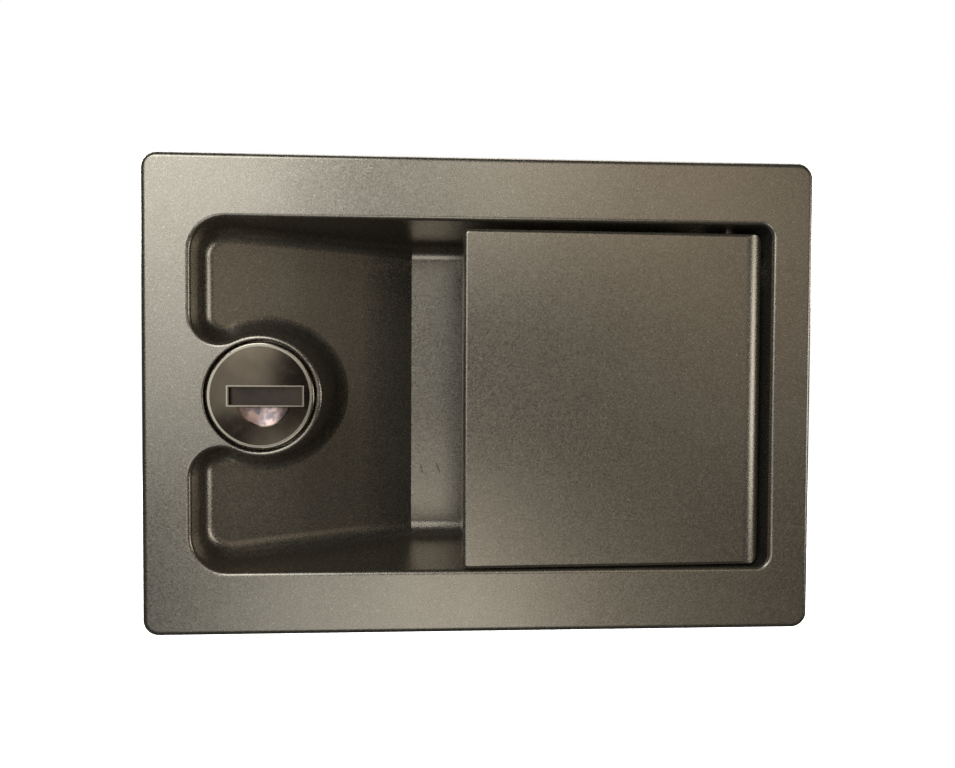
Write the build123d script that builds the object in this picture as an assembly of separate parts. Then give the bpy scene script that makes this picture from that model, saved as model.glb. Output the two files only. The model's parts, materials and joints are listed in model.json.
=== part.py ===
from build123d import *
from math import atan, cos, radians, sin, sqrt, tan
import os

# Flush paddle latch for a panel door: a die-cast housing with a pan for the hand, a paddle hinged
# near its right end, a bevelled slam bolt that leaves the housing on the right, and a key lock at
# the left that makes the paddle swing free.
#
# Frame: X to the right, Y into the panel, Z up. The origin is the centre of the bezel on the plane
# where its rim meets the panel. Sizes are in millimetres.

# ---------------------------------------------------------------- driving dimensions

# bezel
BEZEL_W = 120.0
BEZEL_H = 85.0
BEZEL_T = 3.5
BEZEL_CORNER_R = 2.8
BEZEL_EDGE_R = 1.0
SKIN_T = 2.0
LIP_W = 2.0

# pan
PAN_INSET_LEFT = 8.5
PAN_INSET_RIGHT = 7.5
PAN_INSET_Z = 11.3
PAN_TOP_LEFT_R = 6.0
PAN_LOW_LEFT_R = 6.5
PAN_RIGHT_R = 2.2
PAN_RIM_R = 0.8
PAN_DRAFT = 3.5
PAN_DEPTH = 25.0
HEEL_DEPTH = 7.2
SLOPE_RUN = 38.2
FOOT_R = 3.2
OUTER_FOOT_R = 2.0
WALL = 2.0

# lock lobe and lock
LOCK_INSET = 12.05
LOBE_R = 10.9
LOBE_INSET = 0.3
HEAD_HOLE_EDGE_R = 0.3
NECK_R = 5.0
HEAD_R = 9.55
HEAD_T = 6.1
HEAD_GAP = 0.33
HEAD_EDGE_R = 0.45
BARREL_R = 8.0
BOSS_LENGTH = 21.0
NUT_ACROSS = 20.0
NUT_T = 3.5
PLUG_R = 6.0
CAP_R = 8.65
CAP_T = 5.1
CAP_DOME = 0.35
SLOT_W = 12.6
SLOT_H = 3.1
SLOT_SHIFT = 1.0
FRAME_EDGE_X = 0.45
FRAME_EDGE_Z = 0.3
FRAME_PROUD = 0.12
DISH_R = 5.1
DISH_X = 0.7
DISH_Z = -0.66
DISH_DEPTH = 1.1
KEYWAY_W = 8.6
KEYWAY_H = 2.3
KEYWAY_LENGTH = 17.5
WAFER_COUNT = 5
WAFER_PITCH = 3.2
WAFER_FIRST = 3.0
WAFER_T = 0.9
WAFER_W = 6.4
WAFER_WINDOW_H = 3.0
WAFER_WINDOW_W = 4.4
WAFER_LUG_W = 1.6
WAFER_LUG_H = 1.2
WAFER_LUG_TOP = 1.4
WAFER_SPRING_R = 0.36
WAFER_WIRE_R = 0.07
WAFER_SPRING_L = 3.2
WAFER_SPRING_TURNS = 3
SLOT_FACE_T = 0.5
SHUTTER_ROOM_H = 1.35
SHUTTER_SIDE = 0.3
SHUTTER_T = 0.5
SHUTTER_PIN_R = 0.35
SHUTTER_KNUCKLE_R = 0.6
SHUTTER_COIL_ROOM = 1.1
SHUTTER_COIL_R = 0.51
SHUTTER_WIRE_R = 0.07
SHUTTER_COIL_L = 0.8
SHUTTER_COIL_TURNS = 3

# paddle and hinge
PADDLE_W = 55.2
PADDLE_END_GAP = 1.0
PADDLE_TOP_GAP = 1.6
PADDLE_LOW_GAP = 0.6
PADDLE_LEAN = 1.7
PADDLE_SKIN = 2.3
SKIRT_W = 2.0
SKIRT_DEPTH = 4.0
PADDLE_EDGE_R = 0.7
PADDLE_END_R = 4.1
PADDLE_LEFT_CORNER_R = 0.95
PADDLE_RIGHT_CORNER_R = 3.0
HINGE_INSET = 5.5
HINGE_DEPTH = 5.5
PIN_R = 1.5
KNUCKLE_R = 4.0
KNUCKLE_W = 5.0
KNUCKLE_INSET = 3.6
RIB_W = 2.0
RIB_START = 19.0
RIB_DEPTH = 3.6
ARM_ROOT_R = 4.5
ARM_TIP_R = 2.5
ARM_REACH = 21.0
ARM_HALF_W = 4.0
GUARD_R = 29.0
GUARD_T = 2.0
GUARD_FLOOR_GAP = 2.5
PADDLE_SWING = 30.0
SADDLE_INSET = 0.5
GUARD_START_X = 5.0
PIN_BOSS_R = 4.0
PIN_BOSS_PROUD = 0.1
CLIP_R = 3.0
CLIP_T = 0.6
CLIP_NOTCH_R = 0.7
CLIP_NOTCH_ANGLE = 55.0
GROOVE_DEPTH = 0.35
PIN_TAIL = 0.5
PIN_CHAMFER = 0.25
BUMPER_R = 2.2
BUMPER_INSET = 8.0
BUMPER_STEM_R = 1.1
BUMPER_STEM_L = 1.4
BUMPER_CHAMFER = 0.5

# paddle spring
PADDLE_WIRE_R = 0.45
PADDLE_COIL_R = 2.45
PADDLE_COIL_TURNS = 5.5
PADDLE_COIL_PITCH = 1.3
PADDLE_COIL_Z = 5.9
SPRING_LEG = 10.0
SPRING_HOOK = 4.2
SPRING_LEG_LEAN = 1.9
SPRING_BEND_R = 1.0
SPRING_RIB_T = 1.4
SPRING_RIB_H = 2.5
SPRING_RIB_W = 4.0

# bolt channel
CHANNEL_GROW = 0.7
CHANNEL_INSET = 6.4
CHANNEL_WALL = 2.0
CHANNEL_DEPTH = 10.5
CARRIER_T = 2.0
CARRIER_FLOOR_GAP = 0.3
BOLT_T = 7.8
BOLT_HALF_H = 10.0
BOLT_FOOT_HALF_H = 14.0
RIVET_TO_FOOT = 2.7
BOLT_PROUD = 14.0
BOLT_BEVEL = 10.0
BOLT_NOSE = 1.6
BOLT_EDGE_R = 0.5
RIVET_R = 1.5
RIVET_HEAD_R = 2.4
RIVET_HEAD_T = 0.8
RIVET_INSET = 5.0
RIVET_Z = 11.2

# bolt springs
SPRING_INSET = 6.2
SPRING_COIL_R = 2.5
SPRING_WIRE_R = 0.45
SPRING_TURNS = 6
SPRING_LENGTH = 24.0
SPRING_POST_PLACE = 15.3
SPRING_POST_T = 2.5
SPRING_POST_H = 6.4
SPRING_SPIGOT_R = 1.75
SPRING_SPIGOT_L = 3.0
TAB_T = 2.0
TAB_H = 6.4

# clutch
CLUTCH_T = 1.5
CLUTCH_FALL = 8.2
CLUTCH_GAP = 0.3
CLUTCH_WEB = 2.0
BLOCK_W = 6.0
BLOCK_HALF_H = 3.2
BLOCK_TIP_RISE = 2.0
STUD_R = 1.6
STUD_HEAD_R = 3.0
STUD_HEAD_T = 1.0
STUD_SHANK_R = 1.0
STUD_PLACES = (4.8, 33.3)
STUD_Z = -0.8

# lock cam
CAM_R = 9.0
CAM_T = 2.4
CAM_PIN_R = 1.8
CAM_ANGLE = 45.0
DRIVE_SQUARE = 6.0
SCREW_R = 1.5
SCREW_HEAD_R = 2.8
SCREW_HEAD_T = 1.1
CAM_SCREW_LENGTH = 4.0
THREAD_DEPTH = 0.25
CAM_SLOT_DEPTH = 0.5
CAM_SLOT_W = 0.7
CAM_END_GAP = 0.2

# rear cover
COVER_T = 1.5
COVER_FLANGE = 4.2
COVER_CORNER_R = 4.0
PANEL_MARGIN = 7.5
PANEL_RISE = 0.8
PANEL_DRAW_R = 0.6
BOSS_R = 2.9
BOSS_INSET_Z = 2.8
BOSS_INSET_LEFT = 3.5
BOSS_INSET_RIGHT = 3.2
COVER_SCREW_HEAD_R = 2.75
COVER_SCREW_CHAMFER = 0.5
COVER_EDGE_R = 0.5
COVER_SCREW_HEAD_H = 1.6
COVER_SCREW_LENGTH = 7.0
COVER_SLOT_W = 0.8
COVER_SLOT_DEPTH = 0.7

# panel studs and gasket
PANEL_STUD_R = 2.0
PANEL_STUD_LENGTH = 14.0
PANEL_STUD_INSET_X = 10.0
PANEL_STUD_INSET_Z = 5.25
PAD_R = 2.4
GASKET_T = 1.5
GASKET_INSET = 0.6
GASKET_CORNER_R = 1.5

# clearances
SLIDE_GAP = 0.3
FIT = 0.05
PLAY = 0.35
SEAT_GAP = 0.1
OVERLAP = 0.5
WIRE_FLAT_COUNT = 5

# ---------------------------------------------------------------- places worked out from them

PAN_LEFT = PAN_INSET_LEFT - BEZEL_W / 2
PAN_RIGHT = BEZEL_W / 2 - PAN_INSET_RIGHT
PAN_HALF_H = BEZEL_H / 2 - PAN_INSET_Z
FLAT_X = PAN_LEFT + SLOPE_RUN
LOCK_X = PAN_LEFT + LOCK_INSET
PADDLE_RIGHT = PAN_RIGHT - PADDLE_END_GAP
PADDLE_LEFT = PADDLE_RIGHT - PADDLE_W
PADDLE_TOP = PAN_HALF_H - PADDLE_TOP_GAP
PADDLE_LOW = PADDLE_LOW_GAP - PAN_HALF_H
HINGE_X = PADDLE_RIGHT - HINGE_INSET
KNUCKLE_END = PADDLE_TOP - KNUCKLE_INSET
PIN_BOSS_END = PAN_HALF_H + WALL + PIN_BOSS_PROUD
BUMPER_Z = KNUCKLE_END - BUMPER_INSET
PANEL_STUD_X = BEZEL_W / 2 - PANEL_STUD_INSET_X
PANEL_STUD_Z = BEZEL_H / 2 - PANEL_STUD_INSET_Z

CHANNEL_RIGHT = PAN_RIGHT + CHANNEL_GROW
CHANNEL_HALF_H = PAN_HALF_H - CHANNEL_INSET
COVER_HALF_H = CHANNEL_HALF_H + COVER_FLANGE
BOSS_Z = COVER_HALF_H - BOSS_INSET_Z
BOSS_LEFT_X = FLAT_X + BOSS_INSET_LEFT
BOSS_RIGHT_X = CHANNEL_RIGHT - BOSS_INSET_RIGHT
RIVET_X = CHANNEL_RIGHT - RIVET_INSET
BOLT_FOOT_LEFT = RIVET_X - RIVET_TO_FOOT
SPRING_Z = CHANNEL_HALF_H - SPRING_INSET
SPRING_POST_X = FLAT_X + SPRING_POST_PLACE
STUD_XS = [FLAT_X + place for place in STUD_PLACES]

FACE_Y = -BEZEL_T
BARREL_LENGTH = PAN_DEPTH + WALL
RECESS_Y = FACE_Y + SKIN_T
FLOOR_Y = FACE_Y + PAN_DEPTH
FLOOR_BACK_Y = FLOOR_Y + WALL
CHANNEL_END_Y = FLOOR_BACK_Y + CHANNEL_DEPTH
HINGE_Y = FACE_Y + HINGE_DEPTH
BOLT_THROW = ARM_REACH * sin(radians(PADDLE_SWING))
SLOPE = atan((PAN_DEPTH - HEEL_DEPTH) / (FLAT_X - PAN_LEFT))
CHANNEL_LEFT = FLAT_X + OVERLAP
CHANNEL_INNER_H = CHANNEL_HALF_H - CHANNEL_WALL
CHANNEL_INNER_RIGHT = CHANNEL_RIGHT - CHANNEL_WALL

CARRIER_Y = FLOOR_BACK_Y + CARRIER_FLOOR_GAP
CARRIER_BACK_Y = CARRIER_Y + CARRIER_T
CARRIER_RIGHT = CHANNEL_INNER_RIGHT - SLIDE_GAP
CARRIER_LEFT = CHANNEL_LEFT + SLIDE_GAP
CARRIER_HALF_H = CHANNEL_INNER_H - SLIDE_GAP
BOLT_BACK_Y = CARRIER_BACK_Y + BOLT_T
BOLT_TIP_X = CHANNEL_RIGHT + BOLT_PROUD

CAM_Y = FACE_Y + BARREL_LENGTH + CAM_END_GAP
CAM_BACK_Y = CAM_Y + CAM_T
CLUTCH_Y = CAM_BACK_Y + CLUTCH_GAP
CLUTCH_BACK_Y = CLUTCH_Y + CLUTCH_T
CAM_PIN_ARM = CLUTCH_FALL / (2 * sin(radians(CAM_ANGLE)))
CAM_PIN_X = LOCK_X + CAM_PIN_ARM * cos(radians(CAM_ANGLE))
CAM_PIN_Z = CLUTCH_FALL / 2

ARM_TIP_Y = HINGE_Y + ARM_REACH
BLOCK_RIGHT = HINGE_X - ARM_TIP_R - PLAY
BLOCK_LEFT = BLOCK_RIGHT - BLOCK_W
BLOCK_TIP_Y = FLOOR_Y - BLOCK_TIP_RISE
STUD_SLOT_R = STUD_R + SLIDE_GAP
CLUTCH_TOP = STUD_Z + CLUTCH_FALL + STUD_SLOT_R + CLUTCH_WEB
CLUTCH_LOW = STUD_Z - STUD_SLOT_R - CLUTCH_WEB

CAP_Y = FACE_Y
CAP_BACK_Y = CAP_Y + CAP_T
PLUG_END_Y = FACE_Y + BARREL_LENGTH - FIT
SLOT_X = LOCK_X + SLOT_SHIFT
SHUTTER_Z = SLOT_H / 2 + SHUTTER_ROOM_H - SHUTTER_KNUCKLE_R - SEAT_GAP
SHUTTER_Y = CAP_Y + SLOT_FACE_T + SEAT_GAP + SHUTTER_KNUCKLE_R
SHUTTER_HALF_W = SLOT_W / 2 + SHUTTER_SIDE
SPRING_POST_RIGHT = SPRING_POST_X + SPRING_POST_T
TAB_LEFT = SPRING_POST_RIGHT + SPRING_LENGTH
BIG = 200.0


# ---------------------------------------------------------------- helpers

def block(x, y, z):
    """Box between a low and a high value on each axis."""
    spans = (x, y, z)
    size = [high - low for low, high in spans]
    centre = [(high + low) / 2 for low, high in spans]
    return Pos(*centre) * Box(*size)


def rod_x(y, z, radius, x):
    """Cylinder along X between two places."""
    low, high = x
    return Pos((low + high) / 2, y, z) * Rot(0, 90, 0) * Cylinder(radius, high - low)


def rod_y(x, z, radius, y):
    """Cylinder along Y between two depths."""
    low, high = y
    return Pos(x, (low + high) / 2, z) * Rot(90, 0, 0) * Cylinder(radius, high - low)


def rod_z(x, y, radius, z):
    """Cylinder along Z between two heights."""
    low, high = z
    return Pos(x, y, (low + high) / 2) * Cylinder(radius, high - low)


def plate(sketch, y):
    """A front-view sketch, X and Z, as thick as the two depths are apart."""
    low, high = y
    return extrude(Plane.XZ.offset(-low) * sketch, amount=low - high)


def side_plate(sketch, z):
    """A plan sketch, X and Y, carried from one height to another."""
    low, high = z
    return extrude(Plane.XY.offset(low) * sketch, amount=high - low)


def slot_hole(x, z):
    """A round-ended slot in the front view; one of its two spans is longer than the other."""
    width = x[1] - x[0]
    height = z[1] - z[0]
    radius = min(width, height) / 2 - 0.001
    centre = Pos((x[0] + x[1]) / 2, (z[0] + z[1]) / 2)
    return centre * RectangleRounded(width, height, radius)


def box_sketch(x, z):
    """A plain rectangle in the front view."""
    return Pos((x[0] + x[1]) / 2, (z[0] + z[1]) / 2) * Rectangle(x[1] - x[0], z[1] - z[0])


def coil(mean_r, wire_r, length, turns):
    """Helical spring along Z from the XY plane, with the wire inside its length."""
    height = length - 2 * wire_r
    path = Helix(pitch=height / turns, height=height, radius=mean_r)
    section = Plane(origin=path @ 0, z_dir=path % 0) * wire_section(wire_r)
    return Pos(0, 0, wire_r) * sweep(section, path=path, is_frenet=True)


def wire_section(wire_r):
    """Cross-section of spring wire, drawn with a few flats."""
    return RegularPolygon(wire_r, WIRE_FLAT_COUNT)


def wire(points, bend_r, wire_r):
    """Bent wire through points, with the same radius at each bend."""
    path = FilletPolyline(*points, radius=bend_r)
    section = Plane(origin=path @ 0, z_dir=path % 0) * wire_section(wire_r)
    return sweep(section, path=path)


# ---------------------------------------------------------------- pan

def pan_outline(grow, right_corner_r):
    """The pan's outline, with the lock's lobe growing in from the left.

    It is drawn with Z downwards, so that it can be pulled into the panel with its draft.
    """
    left = PAN_LEFT - grow
    right = PAN_RIGHT + grow
    half_h = PAN_HALF_H + grow
    neck = Vector(PAN_LEFT + NECK_R, 0)
    lobe = Vector(LOCK_X, 0)
    span = LOBE_R + NECK_R
    neck_h = sqrt(span**2 - (neck.X - lobe.X) ** 2)
    neck_r = NECK_R + grow
    lobe_r = LOBE_R - grow

    def neck_arc(side):
        centre = Vector(neck.X, side * neck_h)
        inward = (lobe - centre).normalized()
        middle = (inward + Vector(-1, 0)).normalized()
        return centre + Vector(-neck_r, 0), centre + middle * neck_r, centre + inward * neck_r

    low_wall, low_mid, low_touch = neck_arc(1)
    top_wall, top_mid, top_touch = neck_arc(-1)
    corners = ((left, -half_h), (right, -half_h), (right, half_h), (left, half_h))
    outline = Polyline(top_wall, *corners, low_wall)
    outline += ThreePointArc(low_wall, low_mid, low_touch)
    outline += ThreePointArc(low_touch, lobe + Vector(lobe_r, 0), top_touch)
    outline += ThreePointArc(top_touch, top_mid, top_wall)
    face = make_face(outline)
    left_side = face.vertices().group_by(Axis.X)[0].sort_by(Axis.Y)
    face = fillet(left_side[0], PAN_TOP_LEFT_R + grow)
    left_side = face.vertices().group_by(Axis.X)[0].sort_by(Axis.Y)
    face = fillet(left_side[-1], PAN_LOW_LEFT_R + grow)
    if right_corner_r:
        face = fillet(face.vertices().group_by(Axis.X)[-1], right_corner_r + grow)
    return face


def pan_prism(grow, right_corner_r=PAN_RIGHT_R):
    """The drafted pan form, past its floor."""
    mouth = Plane(origin=(0, FACE_Y, 0), x_dir=(1, 0, 0), z_dir=(0, 1, 0))
    depth = PAN_DEPTH + 2 * WALL
    return mouth * extrude(pan_outline(grow, right_corner_r), amount=depth, taper=PAN_DRAFT)


def under_floor(grow):
    """Everything behind the pan's floor: a slope up to the left wall, then a flat."""
    def slope_y(x):
        return FACE_Y + HEEL_DEPTH + (x - PAN_LEFT) * tan(SLOPE) + grow / cos(SLOPE)

    flat_y = FLOOR_Y + grow
    bend_x = FLAT_X + (grow - grow / cos(SLOPE)) / tan(SLOPE)
    far_left = PAN_LEFT - 2 * WALL
    profile = Polyline(
        (far_left, slope_y(far_left)), (bend_x, flat_y), (BEZEL_W, flat_y),
        (BEZEL_W, BIG), (far_left, BIG), close=True)
    return side_plate(make_face(profile), (-BEZEL_H, BEZEL_H))


def round_foot(form, radius):
    """Rounds where the walls meet the floor, apart from the sharp heel at the left wall."""
    floors = [f for f in form.faces() if f.normal_at().Y > cos(SLOPE) - 0.01]
    edges = ShapeList()
    for floor in floors:
        for edge in floor.edges():
            across = edge.geom_type == GeomType.LINE and abs(edge.tangent_at(0.5).Z) > 0.99
            if not (across and edge.center().X < FLAT_X + WALL):
                edges.append(edge)
    return fillet(edges, radius)


def pan_cavity():
    """The space in the pan."""
    hollow = round_foot(pan_prism(0, right_corner_r=0) - under_floor(0), FOOT_R)
    return hollow & pan_prism(0)


def pan_shell():
    """The outside of the pan, as a full form."""
    return round_foot(pan_prism(WALL) - under_floor(WALL), OUTER_FOOT_R)


# ---------------------------------------------------------------- housing

def bezel():
    """The bezel: a rounded plate with a gasket recess behind it and four stud pads."""
    outline = RectangleRounded(BEZEL_W, BEZEL_H, BEZEL_CORNER_R)
    body = plate(outline, (FACE_Y, 0))
    front = body.edges().group_by(Axis.Y)[0]
    body = fillet(front, BEZEL_EDGE_R)
    recess = RectangleRounded(
        BEZEL_W - 2 * LIP_W, BEZEL_H - 2 * LIP_W, BEZEL_CORNER_R - LIP_W / 2)
    body -= plate(recess, (RECESS_Y, 0))
    for x, z in stud_places():
        body += rod_y(x, z, PAD_R, (RECESS_Y - OVERLAP, 0))
    return body


def stud_places():
    """Where the four panel studs stand."""
    return [(x, z) for x in (-PANEL_STUD_X, PANEL_STUD_X) for z in (-PANEL_STUD_Z, PANEL_STUD_Z)]


def boss_places():
    """Where the rear cover is screwed down."""
    return [(x, z) for x in (BOSS_LEFT_X, BOSS_RIGHT_X) for z in (-BOSS_Z, BOSS_Z)]


def channel():
    """Walls of the bolt's channel, with spring posts and screw bosses, behind the pan's floor."""
    outer = box_sketch((CHANNEL_LEFT, CHANNEL_RIGHT), (-CHANNEL_HALF_H, CHANNEL_HALF_H))
    inner = box_sketch((CHANNEL_LEFT - 1, CHANNEL_INNER_RIGHT), (-CHANNEL_INNER_H, CHANNEL_INNER_H))
    walls = outer - inner
    for x, z in boss_places():
        walls += Pos(x, z) * Circle(BOSS_R)
    body = plate(walls, (FLOOR_BACK_Y - WALL / 2, CHANNEL_END_Y))
    for side in (-1, 1):
        z = (side * SPRING_Z - SPRING_POST_H / 2, side * SPRING_Z + SPRING_POST_H / 2)
        post_end = CARRIER_BACK_Y + SPRING_POST_H
        body += block((SPRING_POST_X, SPRING_POST_RIGHT), (FLOOR_BACK_Y - WALL / 2, post_end), z)
        body += rod_x(spring_y(), side * SPRING_Z, SPRING_SPIGOT_R,
                      (SPRING_POST_RIGHT, SPRING_POST_RIGHT + SPRING_SPIGOT_L))
    window_h = BOLT_HALF_H + SLIDE_GAP
    window_y = (CARRIER_BACK_Y - SLIDE_GAP, BOLT_BACK_Y + SLIDE_GAP)
    body -= block((CHANNEL_INNER_RIGHT - 1, CHANNEL_RIGHT + 1), window_y, (-window_h, window_h))
    for x, z in boss_places():
        body -= rod_y(x, z, SCREW_R + FIT, (CHANNEL_END_Y - COVER_SCREW_LENGTH, CHANNEL_END_Y))
    return body


def spring_y():
    """Depth of the bolt springs' axis."""
    return CARRIER_BACK_Y + SLIDE_GAP + SPRING_COIL_R + SPRING_WIRE_R


def bumper_places():
    """Where the rubber stops stand on the floor, below the end of the paddle's guard."""
    middle_r = GUARD_R - GUARD_T / 2
    drop = FLOOR_Y - GUARD_FLOOR_GAP - HINGE_Y
    x = HINGE_X - sqrt(middle_r**2 - drop**2)
    return [(x, -BUMPER_Z), (x, BUMPER_Z)]


def make_housing():
    """Bezel, pan, lock boss, hinge bosses and bolt channel in one casting."""
    body = bezel() + pan_shell()
    body += rod_y(LOCK_X, 0, LOBE_R - LOBE_INSET, (RECESS_Y - 1, FACE_Y + BOSS_LENGTH))
    body += rod_z(HINGE_X, HINGE_Y, PIN_BOSS_R, (-PIN_BOSS_END, PIN_BOSS_END))
    body -= pan_cavity()
    body += channel()
    for x, z in bumper_places():
        body -= rod_y(x, z, BUMPER_STEM_R + FIT, (FLOOR_Y - 1, FLOOR_Y + BUMPER_STEM_L + FIT))
    rib_x = HINGE_X + PADDLE_COIL_R - PADDLE_WIRE_R - SEAT_GAP
    rib_z = PADDLE_COIL_Z + PADDLE_COIL_TURNS * PADDLE_COIL_PITCH
    body += block((rib_x - SPRING_RIB_T, rib_x), (FLOOR_Y - SPRING_RIB_H, FLOOR_Y + WALL / 2),
                  (rib_z - SPRING_RIB_W / 2, rib_z + SPRING_RIB_W / 2))
    body -= rod_y(LOCK_X, 0, HEAD_R + HEAD_GAP, (FACE_Y - 1, FACE_Y + HEAD_T))
    body -= rod_y(LOCK_X, 0, BARREL_R + FIT, (FACE_Y, FACE_Y + BOSS_LENGTH + 1))
    body -= rod_z(HINGE_X, HINGE_Y, PIN_R + FIT, (-BEZEL_H, BEZEL_H))
    body -= arm_window(FLOOR_Y - 1, FLOOR_BACK_Y + SEAT_GAP)
    front = body.faces().filter_by(Plane.XZ).sort_by(Axis.Y)[0]
    openings = sorted(front.inner_wires(), key=lambda w: w.length)
    body = fillet(openings[-1].edges(), PAN_RIM_R)
    return fillet(lock_hole_edge(body), HEAD_HOLE_EDGE_R)


def lock_hole_edge(body):
    """The front edge of the hole that the lock's head sits in."""
    hole_r = HEAD_R + HEAD_GAP
    rings = body.edges().filter_by(GeomType.CIRCLE)
    return rings.filter_by(
        lambda e: abs(e.radius - hole_r) < FIT and abs(e.center().Y - FACE_Y) < FIT)


def arm_window(y_low, y_high):
    """Window in the pan's floor for the paddle's arm and the clutch's drive block."""
    right = HINGE_X + ARM_TIP_R + 2 * PLAY
    left = BLOCK_LEFT - BOLT_THROW - 2 * PLAY
    top = ARM_HALF_W + PLAY
    low = -BLOCK_HALF_H - CLUTCH_FALL - PLAY
    return block((left, right), (y_low, y_high), (low, top))


def make_gasket():
    """Flat rubber ring in the recess behind the bezel."""
    outer = RectangleRounded(
        BEZEL_W - 2 * LIP_W - 2 * SLIDE_GAP, BEZEL_H - 2 * LIP_W - 2 * SLIDE_GAP, GASKET_CORNER_R)
    inset = WALL + GASKET_INSET
    inner = box_sketch((PAN_LEFT - inset, PAN_RIGHT + inset),
                       (-PAN_HALF_H - inset, PAN_HALF_H + inset))
    ring = outer - inner
    for x, z in stud_places():
        ring -= Pos(x, z) * Circle(PAD_R + SLIDE_GAP)
    notch = PIN_BOSS_R + SLIDE_GAP
    notch_h = PIN_BOSS_END + CLIP_T + PIN_TAIL + 2 * SLIDE_GAP
    ring -= box_sketch((HINGE_X - notch, HINGE_X + notch), (-notch_h, notch_h))
    return plate(ring, (RECESS_Y, RECESS_Y + GASKET_T))


def make_mounting_studs():
    """Four threaded studs cast into the bezel's pads."""
    return [rod_y(x, z, PANEL_STUD_R, (0, PANEL_STUD_LENGTH)) for x, z in stud_places()]


# ---------------------------------------------------------------- paddle

def make_paddle():
    """Hollow-backed plate that leans out a little at its free edge, with hinge knuckles, ribs,
    a curved finger guard and the driving arm."""
    width = PADDLE_RIGHT - PADDLE_LEFT
    height = PADDLE_TOP - PADDLE_LOW
    centre_x = (PADDLE_LEFT + PADDLE_RIGHT) / 2
    centre_z = (PADDLE_TOP + PADDLE_LOW) / 2
    outline = Rectangle(width, height)
    outline = fillet(outline.vertices().group_by(Axis.X)[0], PADDLE_LEFT_CORNER_R)
    outline = fillet(outline.vertices().group_by(Axis.X)[-1], PADDLE_RIGHT_CORNER_R)
    body = plate(Pos(centre_x, centre_z) * outline, (FACE_Y - PADDLE_LEAN, FACE_Y + SKIRT_DEPTH))
    body &= side_plate(leaning_profile(), (-BEZEL_H, BEZEL_H))
    front = body.faces().sort_by(Axis.Y)[0].edges()
    body = fillet(front, PADDLE_EDGE_R)
    hollow = box_sketch((PADDLE_LEFT + SKIRT_W, PADDLE_RIGHT - SKIRT_W),
                        (PADDLE_LOW + SKIRT_W, PADDLE_TOP - SKIRT_W))
    under_y = FACE_Y + PADDLE_SKIN
    body -= plate(hollow, (under_y, FACE_Y + SKIRT_DEPTH + 1))
    body &= end_rounding()

    knuckle = Pos(HINGE_X, HINGE_Y) * Circle(KNUCKLE_R)
    saddle = Pos(HINGE_X, (under_y + HINGE_Y) / 2) * Rectangle(
        2 * (KNUCKLE_R - SADDLE_INSET), HINGE_Y - under_y)
    rib = make_face(Polyline(
        (RIB_START, under_y - OVERLAP), (RIB_START, under_y + RIB_DEPTH),
        (HINGE_X, HINGE_Y + KNUCKLE_R - OVERLAP), (HINGE_X, under_y - OVERLAP), close=True))
    reach = GUARD_R - GUARD_T
    guard = Pos(HINGE_X, HINGE_Y) * (Circle(GUARD_R) - Circle(reach))
    guard_end = FLOOR_Y - GUARD_FLOOR_GAP
    guard &= box_sketch((HINGE_X - 2 * GUARD_R, HINGE_X - GUARD_START_X),
                        (under_y - OVERLAP, guard_end))
    for side in (-1, 1):
        outer = side * KNUCKLE_END
        inner = side * (KNUCKLE_END - KNUCKLE_W)
        z = (min(outer, inner), max(outer, inner))
        body += side_plate(knuckle + saddle, z)
        rib_z = side * (KNUCKLE_END - KNUCKLE_W / 2)
        body += side_plate(rib, (rib_z - RIB_W / 2, rib_z + RIB_W / 2))
    body += side_plate(guard, (-KNUCKLE_END + RIB_W, KNUCKLE_END - RIB_W))
    root = Pos(HINGE_X, HINGE_Y) * Circle(ARM_ROOT_R)
    tip = Pos(HINGE_X, ARM_TIP_Y) * Circle(ARM_TIP_R)
    arm = make_hull((root + tip).edges())
    body += side_plate(arm + saddle, (-ARM_HALF_W, ARM_HALF_W))
    body -= rod_z(HINGE_X, HINGE_Y, PIN_R + FIT, (-PADDLE_TOP, PADDLE_TOP))
    return body


def leaning_profile():
    """The paddle seen from above: its front stands further out towards its free edge."""
    return make_face(Polyline(
        (PADDLE_LEFT, FACE_Y - PADDLE_LEAN), (PADDLE_RIGHT, FACE_Y), (PADDLE_RIGHT, BIG),
        (PADDLE_LEFT, BIG), close=True))


def end_rounding():
    """Region that keeps the paddle whole and rounds its right end over."""
    profile = leaning_profile()
    corner = profile.vertices().group_by(Axis.X)[-1].sort_by(Axis.Y)[0]
    profile = fillet(corner, PADDLE_END_R)
    return side_plate(profile, (-BEZEL_H, BEZEL_H))


def make_hinge_pin():
    """Steel pin that the paddle turns on, with a groove near each end for its clip."""
    half = PIN_BOSS_END + CLIP_T + 2 * FIT + PIN_TAIL
    pin = rod_z(HINGE_X, HINGE_Y, PIN_R, (-half, half))
    pin = chamfer(pin.edges().filter_by(GeomType.CIRCLE), PIN_CHAMFER)
    for side in (-1, 1):
        low, high = sorted((side * PIN_BOSS_END, side * (PIN_BOSS_END + CLIP_T + 2 * FIT)))
        groove = rod_z(HINGE_X, HINGE_Y, PIN_R + 1, (low, high))
        groove -= rod_z(HINGE_X, HINGE_Y, PIN_R - GROOVE_DEPTH, (low, high))
        pin -= groove
    return pin


def make_pin_clips():
    """A retaining clip in each groove of the hinge pin."""
    groove_r = PIN_R - GROOVE_DEPTH
    ring = Circle(CLIP_R) - Circle(groove_r + FIT)
    mouth = box_sketch((0, 2 * CLIP_R), (-groove_r, groove_r))
    notches = [Rot(0, 0, turn) * Pos(-CLIP_R, 0) * Circle(CLIP_NOTCH_R)
               for turn in (-CLIP_NOTCH_ANGLE, CLIP_NOTCH_ANGLE)]
    clip = ring - mouth - notches
    clips = []
    for side in (-1, 1):
        low, high = sorted((side * (PIN_BOSS_END + FIT), side * (PIN_BOSS_END + FIT + CLIP_T)))
        clips.append(side_plate(Pos(HINGE_X, HINGE_Y) * clip, (low, high)))
    return clips


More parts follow.
